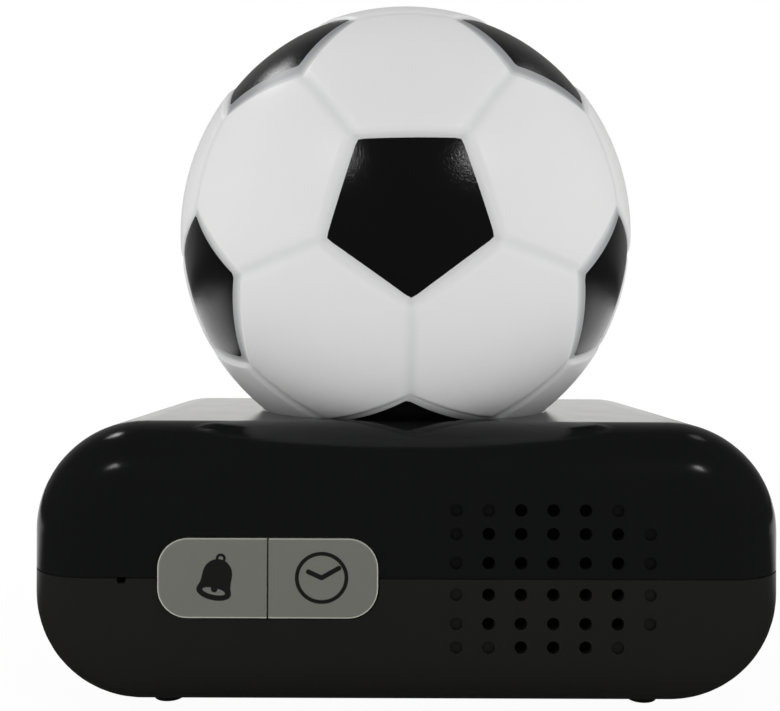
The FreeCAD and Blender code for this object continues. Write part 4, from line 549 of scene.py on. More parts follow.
def smooth_loop(knots: Sequence[Pair], steps: int = 7) -> np.ndarray:
    """Return a closed curve that passes smoothly through points.

    Args:
        knots: The points.
        steps: The number of points on the curve from one knot to the next.

    Returns:
        The curve's points.
    """
    points = []
    ring = np.array(knots)
    for i in range(len(ring)):
        before, start, end, after = (ring[(i + shift) % len(ring)] for shift in (-1, 0, 1, 2))
        for t in np.arange(steps) / steps:
            bend = (end - before) * t + (2 * before - 5 * start + 4 * end - after) * t**2
            points.append(start + (bend + (3 * (start - end) + after - before) * t**3) / 2)
    return np.array(points)


def plate(loops: Sequence[np.ndarray], thickness: float, bevel: float = 0.0) -> Mesh:
    """Return a flat plate that stands on the XY plane.

    Args:
        loops: Its outline and the outlines of its holes.
        thickness: Its height along Z.
        bevel: The size of its bevelled edges.

    Returns:
        The plate's mesh.
    """
    curve = bpy.data.curves.new("plate", "CURVE")
    curve.dimensions = "2D"
    curve.fill_mode = "BOTH"
    curve.extrude = thickness / 2 - bevel
    curve.bevel_depth = bevel
    curve.bevel_resolution = 1
    curve.offset = -bevel
    for loop in loops:
        spline = curve.splines.new("POLY")
        spline.points.add(len(loop) - 1)
        for point, (across, up) in zip(spline.points, loop):
            point.co = (across, up, 0.0, 1.0)
        spline.use_cyclic_u = True
    host = bpy.data.objects.new("plate", curve)
    mesh = bpy.data.meshes.new_from_object(host)
    mesh.transform(Matrix.Translation((0.0, 0.0, thickness / 2)))
    bpy.data.objects.remove(host)
    bpy.data.curves.remove(curve)
    return mesh


def turned(profile: Sequence[Pair], steps: int) -> Mesh:
    """Return a body of revolution about Z.

    Args:
        profile: Radii and heights, from the top of the axis to its bottom.
        steps: The number of faces round the body.

    Returns:
        The body's mesh.
    """
    body = bmesh.new()
    line = [body.verts.new((radius, 0.0, height)) for radius, height in profile]
    line += [body.edges.new(pair) for pair in zip(line, line[1:])]
    bmesh.ops.spin(body, geom=line, axis=UP, cent=(0, 0, 0), angle=math.tau, steps=steps)
    mesh = bpy.data.meshes.new("turned")
    body.to_mesh(mesh)
    body.free()
    return mesh


def placing(place: Vector, across: Vector, up: Vector) -> Matrix:
    """Return the matrix that sets millimetre shapes on a face of the object.

    Args:
        place: Where the shape's origin goes.
        across: Where the shape's X axis points.
        up: Where the shape's Y axis points.

    Returns:
        The matrix.
    """
    turn = Matrix((across, up, across.cross(up))).transposed().to_4x4()
    return Matrix.Translation(place) @ turn @ Matrix.Scale(MM, 4)


class Stack:
    """Collects closed meshes into one."""

    def __init__(self) -> None:
        """Start with nothing."""
        self.all = bmesh.new()

    def add(self, mesh: Mesh, matrix: Matrix = Matrix.Identity(4)) -> None:
        """Weld a mesh, turn its normals outwards, move it and take it in.

        Args:
            mesh: The mesh, which is used up.
            matrix: How it is moved.
        """
        part = bmesh.new()
        part.from_mesh(mesh)
        bmesh.ops.remove_doubles(part, verts=part.verts, dist=WELD)
        bmesh.ops.recalc_face_normals(part, faces=part.faces)
        part.transform(matrix)
        part.to_mesh(mesh)
        part.free()
        self.all.from_mesh(mesh)
        bpy.data.meshes.remove(mesh)

    def mesh(self, name: str, material: Material | None = None) -> Mesh:
        """Return everything as one shaded mesh.

        Args:
            name: The mesh's name.
            material: Its material, if it needs one.

        Returns:
            The mesh.
        """
        made = bpy.data.meshes.new(name)
        self.all.to_mesh(made)
        self.all.free()
        if material:
            made.materials.append(material)
        shade(made)
        return made


def repeated(
    template: Mesh, places: Sequence[Matrix], size: float, material: Material
) -> Mesh:
    """Return copies of a template, set on points by Geometry Nodes.

    Args:
        template: The mesh to repeat.
        places: Where each copy goes and how it is turned.
        size: The scale of the copies.
        material: Their material.

    Returns:
        All the copies as one mesh.
    """
    host = bpy.data.meshes.new("places")
    host.from_pydata([place.translation for place in places], [], [])
    turns = host.attributes.new("turn", "FLOAT_VECTOR", "POINT")
    turns.data.foreach_set("vector", [angle for place in places for angle in place.to_euler()])
    holder = bpy.data.objects.new("template", template)
    recipe = Recipe("repeat", {"Size": size})
    inputs = {
        "Points": recipe.given("Geometry"),
        "Instance": recipe.tree.node("GeometryNodeObjectInfo", {}, {"Object": holder}, "Geometry"),
        "Rotation": recipe.stored("turn", "FLOAT_VECTOR"),
        "Scale": recipe.given("Size"),
    }
    recipe.finish(recipe.tree.node("GeometryNodeInstanceOnPoints", {}, inputs), material)
    made = recipe.make(host)
    bpy.data.objects.remove(holder)
    shade(made)
    return made


# --- keys ---


@dataclass
class KeySigns:
    """The signs printed on the two keys; lengths in millimetres from each sign's middle."""

    wardrobe: Wardrobe
    ink: float = 0.03
    sunk: float = 0.02
    lap: float = 0.006
    bell_place: Pair = (-33.49, 24.05)
    bell_tilt: float = -12.0
    bell_knots: tuple[Pair, ...] = (
        (0.0, 5.76), (0.8, 5.62), (1.42, 5.3), (1.87, 4.88), (2.3, 4.25), (2.54, 3.4),
        (2.58, 2.6), (2.6, 1.8), (2.72, 1.1), (2.95, 0.5), (3.04, 0.0), (2.8, -0.56),
        (2.1, -1.03), (1.1, -1.34), (0.0, -1.43),
    )
    mouth: Triple = (0.1, 2.0, 0.6)
    clapper: Pair = (0.52, 0.57)
    loop: Triple = (5.92, 0.86, 0.42)
    clock_place: Pair = (-14.81, 26.54)
    ring: tuple[Pair, ...] = ((4.62, 4.5), (3.97, 3.85))
    ring_steps: int = 72
    hand_width: float = 0.82
    hands: tuple[Pair, ...] = ((-2.3, 1.04), (3.0, 1.7))

    def build(self) -> None:
        """Print both signs."""
        left = [(-x, y) for x, y in self.bell_knots[-2:0:-1]]
        height, radius, hole = self.loop
        low, wide, narrow = self.mouth
        knob, size = self.clapper
        bell = [
            [smooth_loop([*self.bell_knots, *left]), ellipse((0.0, low), wide, narrow)],
            [ellipse((0.0, knob), size, size)],
            [ellipse((0.0, height), radius, radius), ellipse((0.0, height), hole, hole)],
        ]
        clock = [[ellipse((0.0, 0.0), *radii, self.ring_steps) for radii in self.ring]]
        clock += [[capsule((0.0, 0.0), end, self.hand_width / 2)] for end in self.hands]
        self._print("bell_sign", "alarm_set_button", bell, self.bell_place, self.bell_tilt)
        self._print("clock_sign", "time_set_button", clock, self.clock_place, 0.0)

    def _print(
        self, name: str, key: str, layers: Sequence[Sequence[np.ndarray]], place: Pair, tilt: float
    ) -> None:
        """Print one sign.

        Args:
            name: The sign's name.
            key: The key, which is a node and a body.
            layers: Filled outlines, each printed a little proud of the one before.
            place: The sign's middle on the key, along X and Z.
            tilt: Its turn in degrees, anticlockwise.
        """
        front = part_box(key)[0].y + self.sunk * MM
        facing = placing(Vector((place[0] * MM, front, place[1] * MM)), RIGHT, UP)
        matrix = facing @ Matrix.Rotation(math.radians(tilt), 4, "Z")
        sign = Stack()
        for number, loops in enumerate(layers):
            sign.add(plate(loops, self.sunk + self.ink + number * self.lap), matrix)
        add_piece(name, sign.mesh(name, self.wardrobe.material("ink_black")), key)


# --- display ---


@dataclass
class Display:
    """Digits of the liquid crystal display; lengths in millimetres."""

    wardrobe: Wardrobe
    time: str = "7:30"
    digit: Pair = (6.6, 12.4)
    pitch: float = 10.4
    colon_pitch: float = 5.2
    bar_length: float = 5.7
    bar_width: float = 1.35
    dot_radius: float = 0.85
    dot_height: float = 2.48
    slant: float = 0.09
    film: float = 0.05
    lit: tuple[tuple[str, str], ...] = (
        ("0", "abcdef"), ("1", "bc"), ("2", "abdeg"), ("3", "abcdg"), ("4", "bcfg"),
        ("5", "acdfg"), ("6", "acdefg"), ("7", "abc"), ("8", "abcdefg"), ("9", "abcdfg"),
    )

    def build(self) -> None:
        """Set the digits on the panel, facing the back of the clock."""
        low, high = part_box("lcd_panel")
        middle = (low + high) / 2
        lean = Matrix.Identity(4)
        lean[0][1] = self.slant
        leaning = placing(Vector((middle.x, high.y, middle.z)), -RIGHT, UP) @ lean
        material = self.wardrobe.material("ink_black")
        half, thick = self.bar_length / 2, self.bar_width / 2
        bar = [(-half, 0.0), (thick - half, -thick), (half - thick, -thick)]
        bar += [(-across, -up) for across, up in bar]
        digits = Stack()
        segment = plate([np.array(bar)], self.film)
        digits.add(repeated(segment, self._segments(), 1.0, material), leaning)
        for place in self._dots():
            dot = ellipse(place, self.dot_radius, self.dot_radius)
            digits.add(plate([dot], self.film), leaning)
        add_piece("lcd_digits", digits.mesh("lcd_digits", material), "base")

    def _starts(self) -> Iterable[tuple[str, float]]:
        """Space the characters evenly about the middle of the panel.

        Yields:
            Each character and the place of its middle.
        """
        steps = [self.colon_pitch if sign == ":" else self.pitch for sign in self.time]
        place = -sum(steps) / 2
        for sign, step in zip(self.time, steps):
            yield sign, place + step / 2
            place += step

    def _segments(self) -> list[Matrix]:
        """Work out which bars are lit.

        Returns:
            Where each lit bar goes and how it is turned.
        """
        wide, tall = self.digit[0] / 2, self.digit[1] / 2
        spots = {
            "a": (0.0, tall, 0.0), "g": (0.0, 0.0, 0.0), "d": (0.0, -tall, 0.0),
            "f": (-wide, tall / 2, 90.0), "b": (wide, tall / 2, 90.0),
            "e": (-wide, -tall / 2, 90.0), "c": (wide, -tall / 2, 90.0),
        }
        bars = []
        for sign, middle in self._starts():
            for letter in dict(self.lit).get(sign, ""):
                across, up, angle = spots[letter]
                upright = Matrix.Rotation(math.radians(angle), 4, "Z")
                bars.append(Matrix.Translation((middle + across, up, 0.0)) @ upright)
        return bars

    def _dots(self) -> list[Pair]:
        """Return the places of the colon's dots."""
        colons = [middle for sign, middle in self._starts() if sign == ":"]
        return [(middle, up) for middle in colons for up in (-self.dot_height, self.dot_height)]


# --- screws ---


@dataclass
class Screws:
    """Cross-head screws in the places of the plain ones, with threads in millimetres.

    The crown and the cross are given as shares of the head's height and radius.
    """

    wardrobe: Wardrobe
    base_nodes: tuple[str, ...] = (
        "case_screws", "key_board_screws", "speaker_screws", "lcd_screws", "main_board_screws",
        "dock_screws",
    )
    drive_nodes: tuple[str, ...] = ("motor_screws", "ballast_screws")
    crown: float = 0.55
    bevel: float = 0.14
    cross_reach: float = 0.62
    cross_width: float = 0.2
    thread_pitch: float = 0.6
    thread_depth: float = 0.16
    head_edge: float = 0.95
    steps: int = 32

    def build(self) -> None:
        """Replace every node of screws."""
        for body, nodes in (("base", self.base_nodes), ("drive_unit", self.drive_nodes)):
            for node in nodes:
                self._replace(node, body)

    def _replace(self, node: str, body: str) -> None:
        """Replace one node's screws, which are all of one size.

        Args:
            node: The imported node.
            body: The body it moves with.
        """
        screws = [self._measured(points) for points in self._solids(node)]
        places = [place for place, _ in screws]
        template = self._template(*screws[-1][1])
        mesh = repeated(template, places, MM, self.wardrobe.material("steel"))
        add_piece(node + "_cross_head", mesh, body, [node])

    @staticmethod
    def _solids(node: str) -> list[np.ndarray]:
        """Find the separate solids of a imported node.

        Args:
            node: The node's name.

        Returns:
            The points of each solid, always in the same order.
        """
        whole = bmesh.new()
        whole.from_mesh(frame["nodes"][node].data)
        bmesh.ops.remove_doubles(whole, verts=whole.verts, dist=TOUCH)
        left = set(whole.verts)
        solids = []
        while left:
            group, edge = set(), [left.pop()]
            while edge:
                vertex = edge.pop()
                group.add(vertex)
                near = [e.other_vert(vertex) for e in vertex.link_edges]
                edge += [v for v in near if v in left]
                left.difference_update(near)
            solids.append(np.array(sorted(tuple(v.co) for v in group)))
        whole.free()
        return sorted(solids, key=lambda points: tuple(points.mean(axis=0)))

    def _measured(self, points: np.ndarray) -> tuple[Matrix, tuple[float, ...]]:
        """Return where a plain screw stands and its sizes.

        Args:
            points: The points of its mesh.

        Returns:
            The seat's place with Z towards the head, and in millimetres the head's radius and
            height and the shank's radius and length.
        """
        middle = points.mean(axis=0)
        values, vectors = np.linalg.eigh(np.cov((points - middle).T))
        odd = 0 if values[1] - values[0] > values[2] - values[1] else 2
        axis = vectors[:, odd]
        along = (points - middle) @ axis
        out = np.linalg.norm(points - middle - np.outer(along, axis), axis=1)
        head = out > out.max() * self.head_edge
        if along[head].mean() < along.mean():
            axis, along = -axis, -along
        seat = along[head].min()
        shank = out[along < seat - WELD]
        turn = Vector(axis).to_track_quat("Z", "Y").to_matrix().to_4x4()
        sizes = (out.max(), along.max() - seat, shank.max(), seat - along.min())
        place = Matrix.Translation(middle + axis * seat) @ turn
        return place, tuple(float(size) / MM for size in sizes)

    def _template(self, head: float, height: float, shank: float, length: float) -> Mesh:
        """Make a screw whose seat is at Z = 0 and whose head points up; all in millimetres.

        Args:
            head: The head's radius.
            height: The head's height.
            shank: The shank's radius.
            length: The shank's length.

        Returns:
            The screw's mesh.
        """
        base = height * (1.0 - self.crown)
        root = shank - self.thread_depth
        profile = [(0.0, base), (head, base), (head, 0.0), (root, 0.0)]
        for number in range(int((length - 2 * self.thread_pitch) / self.thread_pitch)):
            top = -(number + 0.5) * self.thread_pitch
            profile += [(root, top), (shank, top - self.thread_pitch / 3)]
            profile.append((root, top - self.thread_pitch * 2 / 3))
        profile += [(root, shank - length), (root / 3, -length), (0.0, -length)]
        reach, half = head * self.cross_reach, head * self.cross_width / 2
        cross = [
            tuple(Matrix.Rotation(quarter * math.pi / 2, 2) @ Vector(point))
            for quarter in range(4)
            for point in ((half, half), (half, reach), (-half, reach))
        ]
        screw = Stack()
        screw.add(turned(profile, self.steps))
        loops = [ellipse((0, 0), head, head), np.array(cross)]
        top = plate(loops, height - base, self.bevel * height)
        screw.add(top, Matrix.Translation((0.0, 0.0, base)))
        return screw.mesh("screw")


# --- battery door ---


@dataclass
class DoorGrip:
    """Grip ribs and an arrow on the battery door; lengths in millimetres."""

    wardrobe: Wardrobe
    ribs: int = 5
    pitch: float = 2.0
    length: float = 17.0
    width: float = 0.8
    height: float = 0.4
    sunk: float = 0.1
    bevel: float = 0.12
    first: float = 8.6
    arrow_gap: float = 1.2
    arrow_size: float = 3.0

    def build(self) -> None:
        """Set the ribs and the arrow on the door's outer face."""
        low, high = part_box("battery_door")
        spot = Vector(((low.x + high.x) / 2, low.y, low.z + self.sunk * MM))
        facing = placing(spot, RIGHT, FRONT)
        material = self.wardrobe.material("case_satin")
        half, thick = self.length / 2, self.height + self.sunk
        rib = plate([capsule((-half, 0.0), (half, 0.0), self.width / 2)], thick, self.bevel)
        rows = [-self.first - number * self.pitch for number in range(self.ribs)]
        places = [Matrix.Translation((0.0, row, 0.0)) for row in rows]
        grip = Stack()
        grip.add(repeated(rib, places, 1.0, material), facing)
        base = rows[-1] - self.pitch - self.arrow_gap
        tip = self.arrow_size
        arrow = np.array([(-tip, base), (0.0, base - tip), (tip, base)])
        grip.add(plate([arrow], thick, self.bevel), facing)
        mesh = grip.mesh("battery_door_grip", material)
        add_piece("battery_door_grip", mesh, "battery_door")


# --- football ---

SAME_WAY = 0.9  # the least cosine between directions that count as one
NEAR = 0.5  # the least cosine between a panel's middle and points that may lie on it
OFF_MIDDLE = 0.1  # how far a unit direction to the left or right points at least


def unit(vector: np.ndarray) -> np.ndarray:
    """Return vectors scaled to length 1."""
    return vector / np.linalg.norm(vector, axis=-1, keepdims=True)


def pentagon_centres() -> list[np.ndarray]:
    """Work out where a football's pentagons are.

    Returns:
        The twelve directions: the two poles on Y and two rings of five.
    """
    tilt = math.atan(2.0)
    centres = [np.array((0.0, -1.0, 0.0)), np.array((0.0, 1.0, 0.0))]
    for side, start in ((-1.0, 270.0), (1.0, 90.0)):
        for turn in range(5):
            angle = math.radians(start + 72.0 * turn)
            across, up = math.sin(tilt) * math.cos(angle), math.sin(tilt) * math.sin(angle)
            centres.append(np.array((across, side * math.cos(tilt), up)))
    return centres


def are_neighbours(first: np.ndarray, second: np.ndarray) -> bool:
    """Return whether two pentagon directions are next to each other."""
    return 0.0 < float(first @ second) < SAME_WAY


def in_order(centre: np.ndarray, corners: list[np.ndarray]) -> list[np.ndarray]:
    """Sort a panel's corners.

    Args:
        centre: The panel's centre on the unit sphere.
        corners: Its corners.

    Returns:
        The corners anticlockwise, seen from outside.
    """
    across = unit(corners[0] - centre * (corners[0] @ centre))
    up = np.cross(centre, across)
    return sorted(corners, key=lambda c: math.atan2(float(c @ up), float(c @ across)))


def sides(corners: list[np.ndarray]) -> list[tuple[np.ndarray, np.ndarray]]:
    """Return the two ends of each side of a panel."""
    return list(zip(corners, corners[1:] + corners[:1]))


@dataclass
class Football:
    """The ball's two painted shells; lengths in millimetres, and the turn in degrees.

    The drops are below the hexagons' level. The slope starts at a pentagon's edge. The paint's
    slips are off the middles of the five pentagons round the front one.
    """

    wardrobe: Wardrobe
    steps_along_edge: int = 16
    pattern_turn: Triple = (-0.25, -0.8, 0.4)
    pentagon_drop: float = 0.55
    slope: float = 1.35
    seam_drop: float = 0.3
    seam_reach: float = 1.9
    seam_fade: float = 2.2
    seam_fade_slope: float = 0.5
    crown: float = 0.16
    crown_reach: float = 11.0
    paint_reach: float = 12.5
    paint_corner: float = 0.5
    paint_over: float = 0.2
    paint_slips: tuple[Triple, ...] = (
        (-0.06, 2.06, 1.24),  # upper left
        (0.28, 1.86, 0.92),  # upper right
        (-0.38, 0.51, 0.33),  # lower left
        (0.4, 0.94, -0.27),  # lower right
        (-0.6, 0.0, 0.0),  # bottom
    )
    shell: float = 2.7
    seam: float = 0.03
    inner_rows: int = 20
    ring_gaps: tuple[float, ...] = (
        0.0, 0.12, 0.22, 0.34, 0.48, 0.62, 0.76, 0.9, 1.05, 1.2,
        1.4, 1.7, 2.1, 2.6, 3.3, 4.4, 6.0, 8.2, 11.0, 14.0,
    )

    def __post_init__(self) -> None:
        """Take the ball's place and radius from the frame."""
        low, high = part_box("ball_axle")
        self.centre = (low + high) / 2.0
        self.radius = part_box("ball_front_half")[1].z - self.centre.z
        self.scale = self.radius / MM
        turn = np.array(Euler([math.radians(angle) for angle in self.pattern_turn]).to_matrix())
        self.pentagons = [turn @ centre for centre in pentagon_centres()]
        pairs = itertools.combinations(self.pentagons, 2)
        self.seams = [(unit(2 * a + b), unit(a + 2 * b)) for a, b in pairs if are_neighbours(a, b)]

    def build(self) -> None:
        """Make both shells."""
        whole = self._panelled_sphere()
        for name, side in (("ball_front_half", -1.0), ("ball_rear_half", 1.0)):
            add_piece(name + "_shell", self._half(whole, side), "ball", [name])
        whole.free()

    def _corners(self, pentagon: np.ndarray) -> list[np.ndarray]:
        """Return a pentagon's corners in order, on the unit sphere."""
        around = [other for other in self.pentagons if are_neighbours(pentagon, other)]
        return in_order(pentagon, [unit(2 * pentagon + other) for other in around])

    def _panels(self) -> Iterable[tuple[np.ndarray, list[np.ndarray]]]:
        """Find the pentagons and the hexagons on the unit sphere.

        Yields:
            Each panel's centre and its corners in order.
        """
        for pentagon in self.pentagons:
            yield pentagon, self._corners(pentagon)
        for trio in itertools.combinations(self.pentagons, 3):
            if all(are_neighbours(a, b) for a, b in itertools.combinations(trio, 2)):
                centre = unit(sum(trio))
                corners = [unit(2 * a + b) for a, b in itertools.permutations(trio, 2)]
                yield centre, in_order(centre, corners)

    def _panelled_sphere(self) -> BMesh:
        """Build a unit sphere whose edges follow the panels, with close rings at their edges.

        Returns:
            The sphere, which the caller frees.
        """
        sphere = bmesh.new()
        along = np.linspace(0.0, 1.0, self.steps_along_edge + 1)[:, None]
        for centre, corners in self._panels():
            middle = unit(corners[0] + corners[1])
            reach = math.acos(float(middle @ centre)) * self.scale
            rings = [1.0 - gap / reach for gap in self.ring_gaps if gap < reach] + [0.0]
            for first, second in sides(corners):
                edge = first + (second - first) * along
                grid = [
                    [sphere.verts.new(Vector(p)) for p in unit(centre + (edge - centre) * share)]
                    for share in rings
                ]
                for outer, inner in zip(grid, grid[1:]):
                    for i in range(self.steps_along_edge):
                        sphere.faces.new((outer[i], outer[i + 1], inner[i + 1], inner[i]))
        bmesh.ops.remove_doubles(sphere, verts=sphere.verts, dist=2 * WELD)
        bmesh.ops.dissolve_degenerate(sphere, edges=sphere.edges, dist=TOUCH)
        return sphere

    def _half(self, whole: BMesh, side: float) -> Mesh:
        """Return one closed shell.

        Args:
            whole: The panelled unit sphere.
            side: -1 for the front half and 1 for the rear half.

        Returns:
            The shell's mesh with its material.
        """
        half = whole.copy()
        bmesh.ops.bisect_plane(
            half,
            geom=half.verts[:] + half.edges[:] + half.faces[:],
            plane_co=Vector((0.0, side * self.seam * MM / self.radius, 0.0)),
            plane_no=Vector((0.0, -side, 0.0)),
            clear_outer=True,
        )
        for vertex in half.verts:
            vertex.co.normalize()
        mesh = bpy.data.meshes.new("ball_half")
        half.to_mesh(mesh)
        half.free()
        self._measure(mesh)
        outside = self._relief().make(mesh)
        self._close(outside, side)
        shade(outside, angle=50.0)
        return outside

    def _measure(self, mesh: Mesh) -> None:
        """Store on each point how far it is from the seams and inside the pentagons and the paint.

        Args:
            mesh: One half of the unit sphere.
        """
        points = np.empty(len(mesh.vertices) * 3, np.float32)
        mesh.vertices.foreach_get("co", points)
        points = unit(points.reshape(-1, 3).astype(float))
        edge, paint = self._inside(points)
        for name, values in (("seam", self._to_seams(points)), ("edge", edge), ("paint", paint)):
            stored = mesh.attributes.new(name, "FLOAT", "POINT")
            stored.data.foreach_set("value", values.astype(np.float32))

    def _to_seams(self, points: np.ndarray) -> np.ndarray:
        """Measure how far points are from the nearest seam, which fades towards its ends.

        Args:
            points: Points on the unit sphere.

        Returns:
            Their distances.
        """
        nearest = np.full(len(points), FAR)
        for first, second in self.seams:
            pole = unit(np.cross(first, second))
            beside = (points @ np.cross(pole, first) > 0) & (points @ np.cross(second, pole) > 0)
            to_arc = np.abs(np.arcsin(np.clip(points @ pole, -1, 1)))
            to_ends = np.arccos(np.clip(np.maximum(points @ first, points @ second), -1, 1))
            fade = np.maximum(self.seam_fade - to_ends * self.scale, 0.0)
            to_arc = np.hypot(to_arc, self.seam_fade_slope * fade / self.scale)
            nearest = np.minimum(nearest, np.where(beside, to_arc, to_ends) * self.scale)
        return nearest

    def _inside(self, points: np.ndarray) -> tuple[np.ndarray, np.ndarray]:
        """Measure how far points are inside a pentagon and inside its paint.

        Args:
            points: Points on the unit sphere.

        Returns:
            The distances from the pentagon's edge and from the paint's, below 0 outside them.
        """
        edge = np.full(len(points), -FAR)
        paint = np.full(len(points), -FAR)
        for pentagon in self.pentagons:
            walls = [unit(np.cross(a, b)) for a, b in sides(self._corners(pentagon))]
            depths = np.arcsin(np.clip([points @ wall for wall in walls], -1, 1)) * self.scale
            near = points @ pentagon > NEAR
            edge = np.where(near, np.maximum(edge, depths.min(axis=0)), edge)
            middles = [a + b for a, b in sides(self._corners(pentagon))]
            ways = [unit(middle - pentagon * (middle @ pentagon)) for middle in middles]
            offset = points * self.scale - self._slip(pentagon)
            inner = np.sort([self.paint_reach - offset @ way for way in ways], axis=0)
            inside = np.minimum(self._rounded(inner), edge + self.paint_over)
            paint = np.where(near, np.maximum(paint, inside), paint)
        return edge, paint

    def _slip(self, pentagon: np.ndarray) -> np.ndarray:
        """Look up how far the paint sits off a pentagon's middle.

        Args:
            pentagon: The pentagon's direction.

        Returns:
            The offset along X, Y and Z.
        """
        across, deep, up = pentagon
        if not -SAME_WAY < deep < 0.0:
            return np.zeros(3)
        corner = 2 * int(up < 0.0) + int(across > 0.0)
        return np.array(self.paint_slips[corner if abs(across) > OFF_MIDDLE else -1])

    def _rounded(self, inner: np.ndarray) -> np.ndarray:
        """Measure how far points are inside the painted pentagon, whose corners are rounded.

        Args:
            inner: Each point's distances from the five sides, the smallest first.

        Returns:
            The distances from the rounded outline.
        """
        short = np.maximum(self.paint_corner - inner[:2], 0.0)
        cornered = self.paint_corner - np.hypot(short[0], short[1])
        return np.where((short > 0).all(axis=0), cornered, inner[0])

    def _relief(self) -> Recipe:
        """Build the tree that lifts the panels, sinks the seams and slopes the borders.

        Returns:
            The tree, with the ball's sizes as its inputs.
        """
        recipe = Recipe(
            "ball_relief",
            {
                "Radius": self.scale,
                "Pentagon drop": self.pentagon_drop,
                "Slope": self.slope,
                "Seam drop": self.seam_drop,
                "Seam reach": self.seam_reach,
                "Crown": self.crown,
                "Crown reach": self.crown_reach,
            },
        )
        tree, given = recipe.tree, recipe.given
        seam, edge = recipe.stored("seam"), recipe.stored("edge")
        level = given("Pentagon drop") * (1.0 - (0.0 - edge).step(0.0, given("Slope")))
        channel = given("Seam drop") * (1.0 - seam.step(0.0, given("Seam reach")))
        crown = (edge / given("Crown reach")).least(1.0).most(0.0)
        drop = level.most(channel) - given("Crown") * crown * (2.0 - crown)
        out = {0: tree.node("GeometryNodeInputPosition"), "Scale": (given("Radius") - drop) * MM}
        lifted = tree.node("ShaderNodeVectorMath", {"operation": "SCALE"}, out)
        inputs = {0: lifted, 1: self.centre}
        placed = tree.node("ShaderNodeVectorMath", {"operation": "ADD"}, inputs)
        inputs = {"Geometry": given("Geometry"), "Position": placed}
        moved = tree.node("GeometryNodeSetPosition", {}, inputs)
        recipe.finish(moved, self.wardrobe.material("ball_white"))
        return recipe

    def _close(self, mesh: Mesh, side: float) -> None:
        """Add the inner wall and the rim to a half's outer skin.

        Args:
            mesh: The outer skin, which becomes the closed shell.
            side: -1 for the front half and 1 for the rear half.
        """
        shell = bmesh.new()
        shell.from_mesh(mesh)
        rim = {vert for edge in shell.edges if edge.is_boundary for vert in edge.verts}
        ring = sorted(rim, key=self._angle)
        angles = [self._angle(vert) for vert in ring]
        inner = self.radius - self.shell * MM
        for row in range(self.inner_rows):
            polar = math.pi / 2 * (1.0 - row / self.inner_rows)
            flat = inner * math.sin(polar)
            deep = side * max(inner * math.cos(polar), self.seam * MM)
            nearer = []
            for angle in angles:
                offset = Vector((flat * math.cos(angle), deep, flat * math.sin(angle)))
                nearer.append(shell.verts.new(self.centre + offset))
            for i in range(len(ring)):
                shell.faces.new((ring[i - 1], ring[i], nearer[i], nearer[i - 1]))
            ring = nearer
        pole = shell.verts.new(self.centre + Vector((0.0, side * inner, 0.0)))
        for i in range(len(ring)):
            shell.faces.new((ring[i - 1], ring[i], pole))
        bmesh.ops.recalc_face_normals(shell, faces=shell.faces)
        shell.to_mesh(mesh)
        shell.free()

    def _angle(self, vert: BMVert) -> float:
        """Return a point's angle round the ball's front-to-back axis."""
        return math.atan2(vert.co.z - self.centre.z, vert.co.x - self.centre.x)


# --- studio ---


@dataclass(frozen=True)
class SoftBox:
    """A square lamp that faces the middle of the object from a direction."""

    name: str
    azimuth: float
    elevation: float
    power: float
    size: float
    distance: float = 0.62

    def build(self, target: Vector) -> None:
        """Add the lamp.

        Args:
            target: The point that the lamp faces.
        """
        lamp = bpy.data.lights.new(self.name, "AREA")
        lamp.energy = self.power
        lamp.size = self.size
        holder = in_scene(self.name, lamp)
        around, up = math.radians(self.azimuth), math.radians(self.elevation)
        flat = math.cos(up)
        away = Vector((math.sin(around) * flat, -math.cos(around) * flat, math.sin(up)))
        holder.location = target + away * self.distance
        holder.rotation_euler = away.to_track_quat("Z", "Y").to_euler()


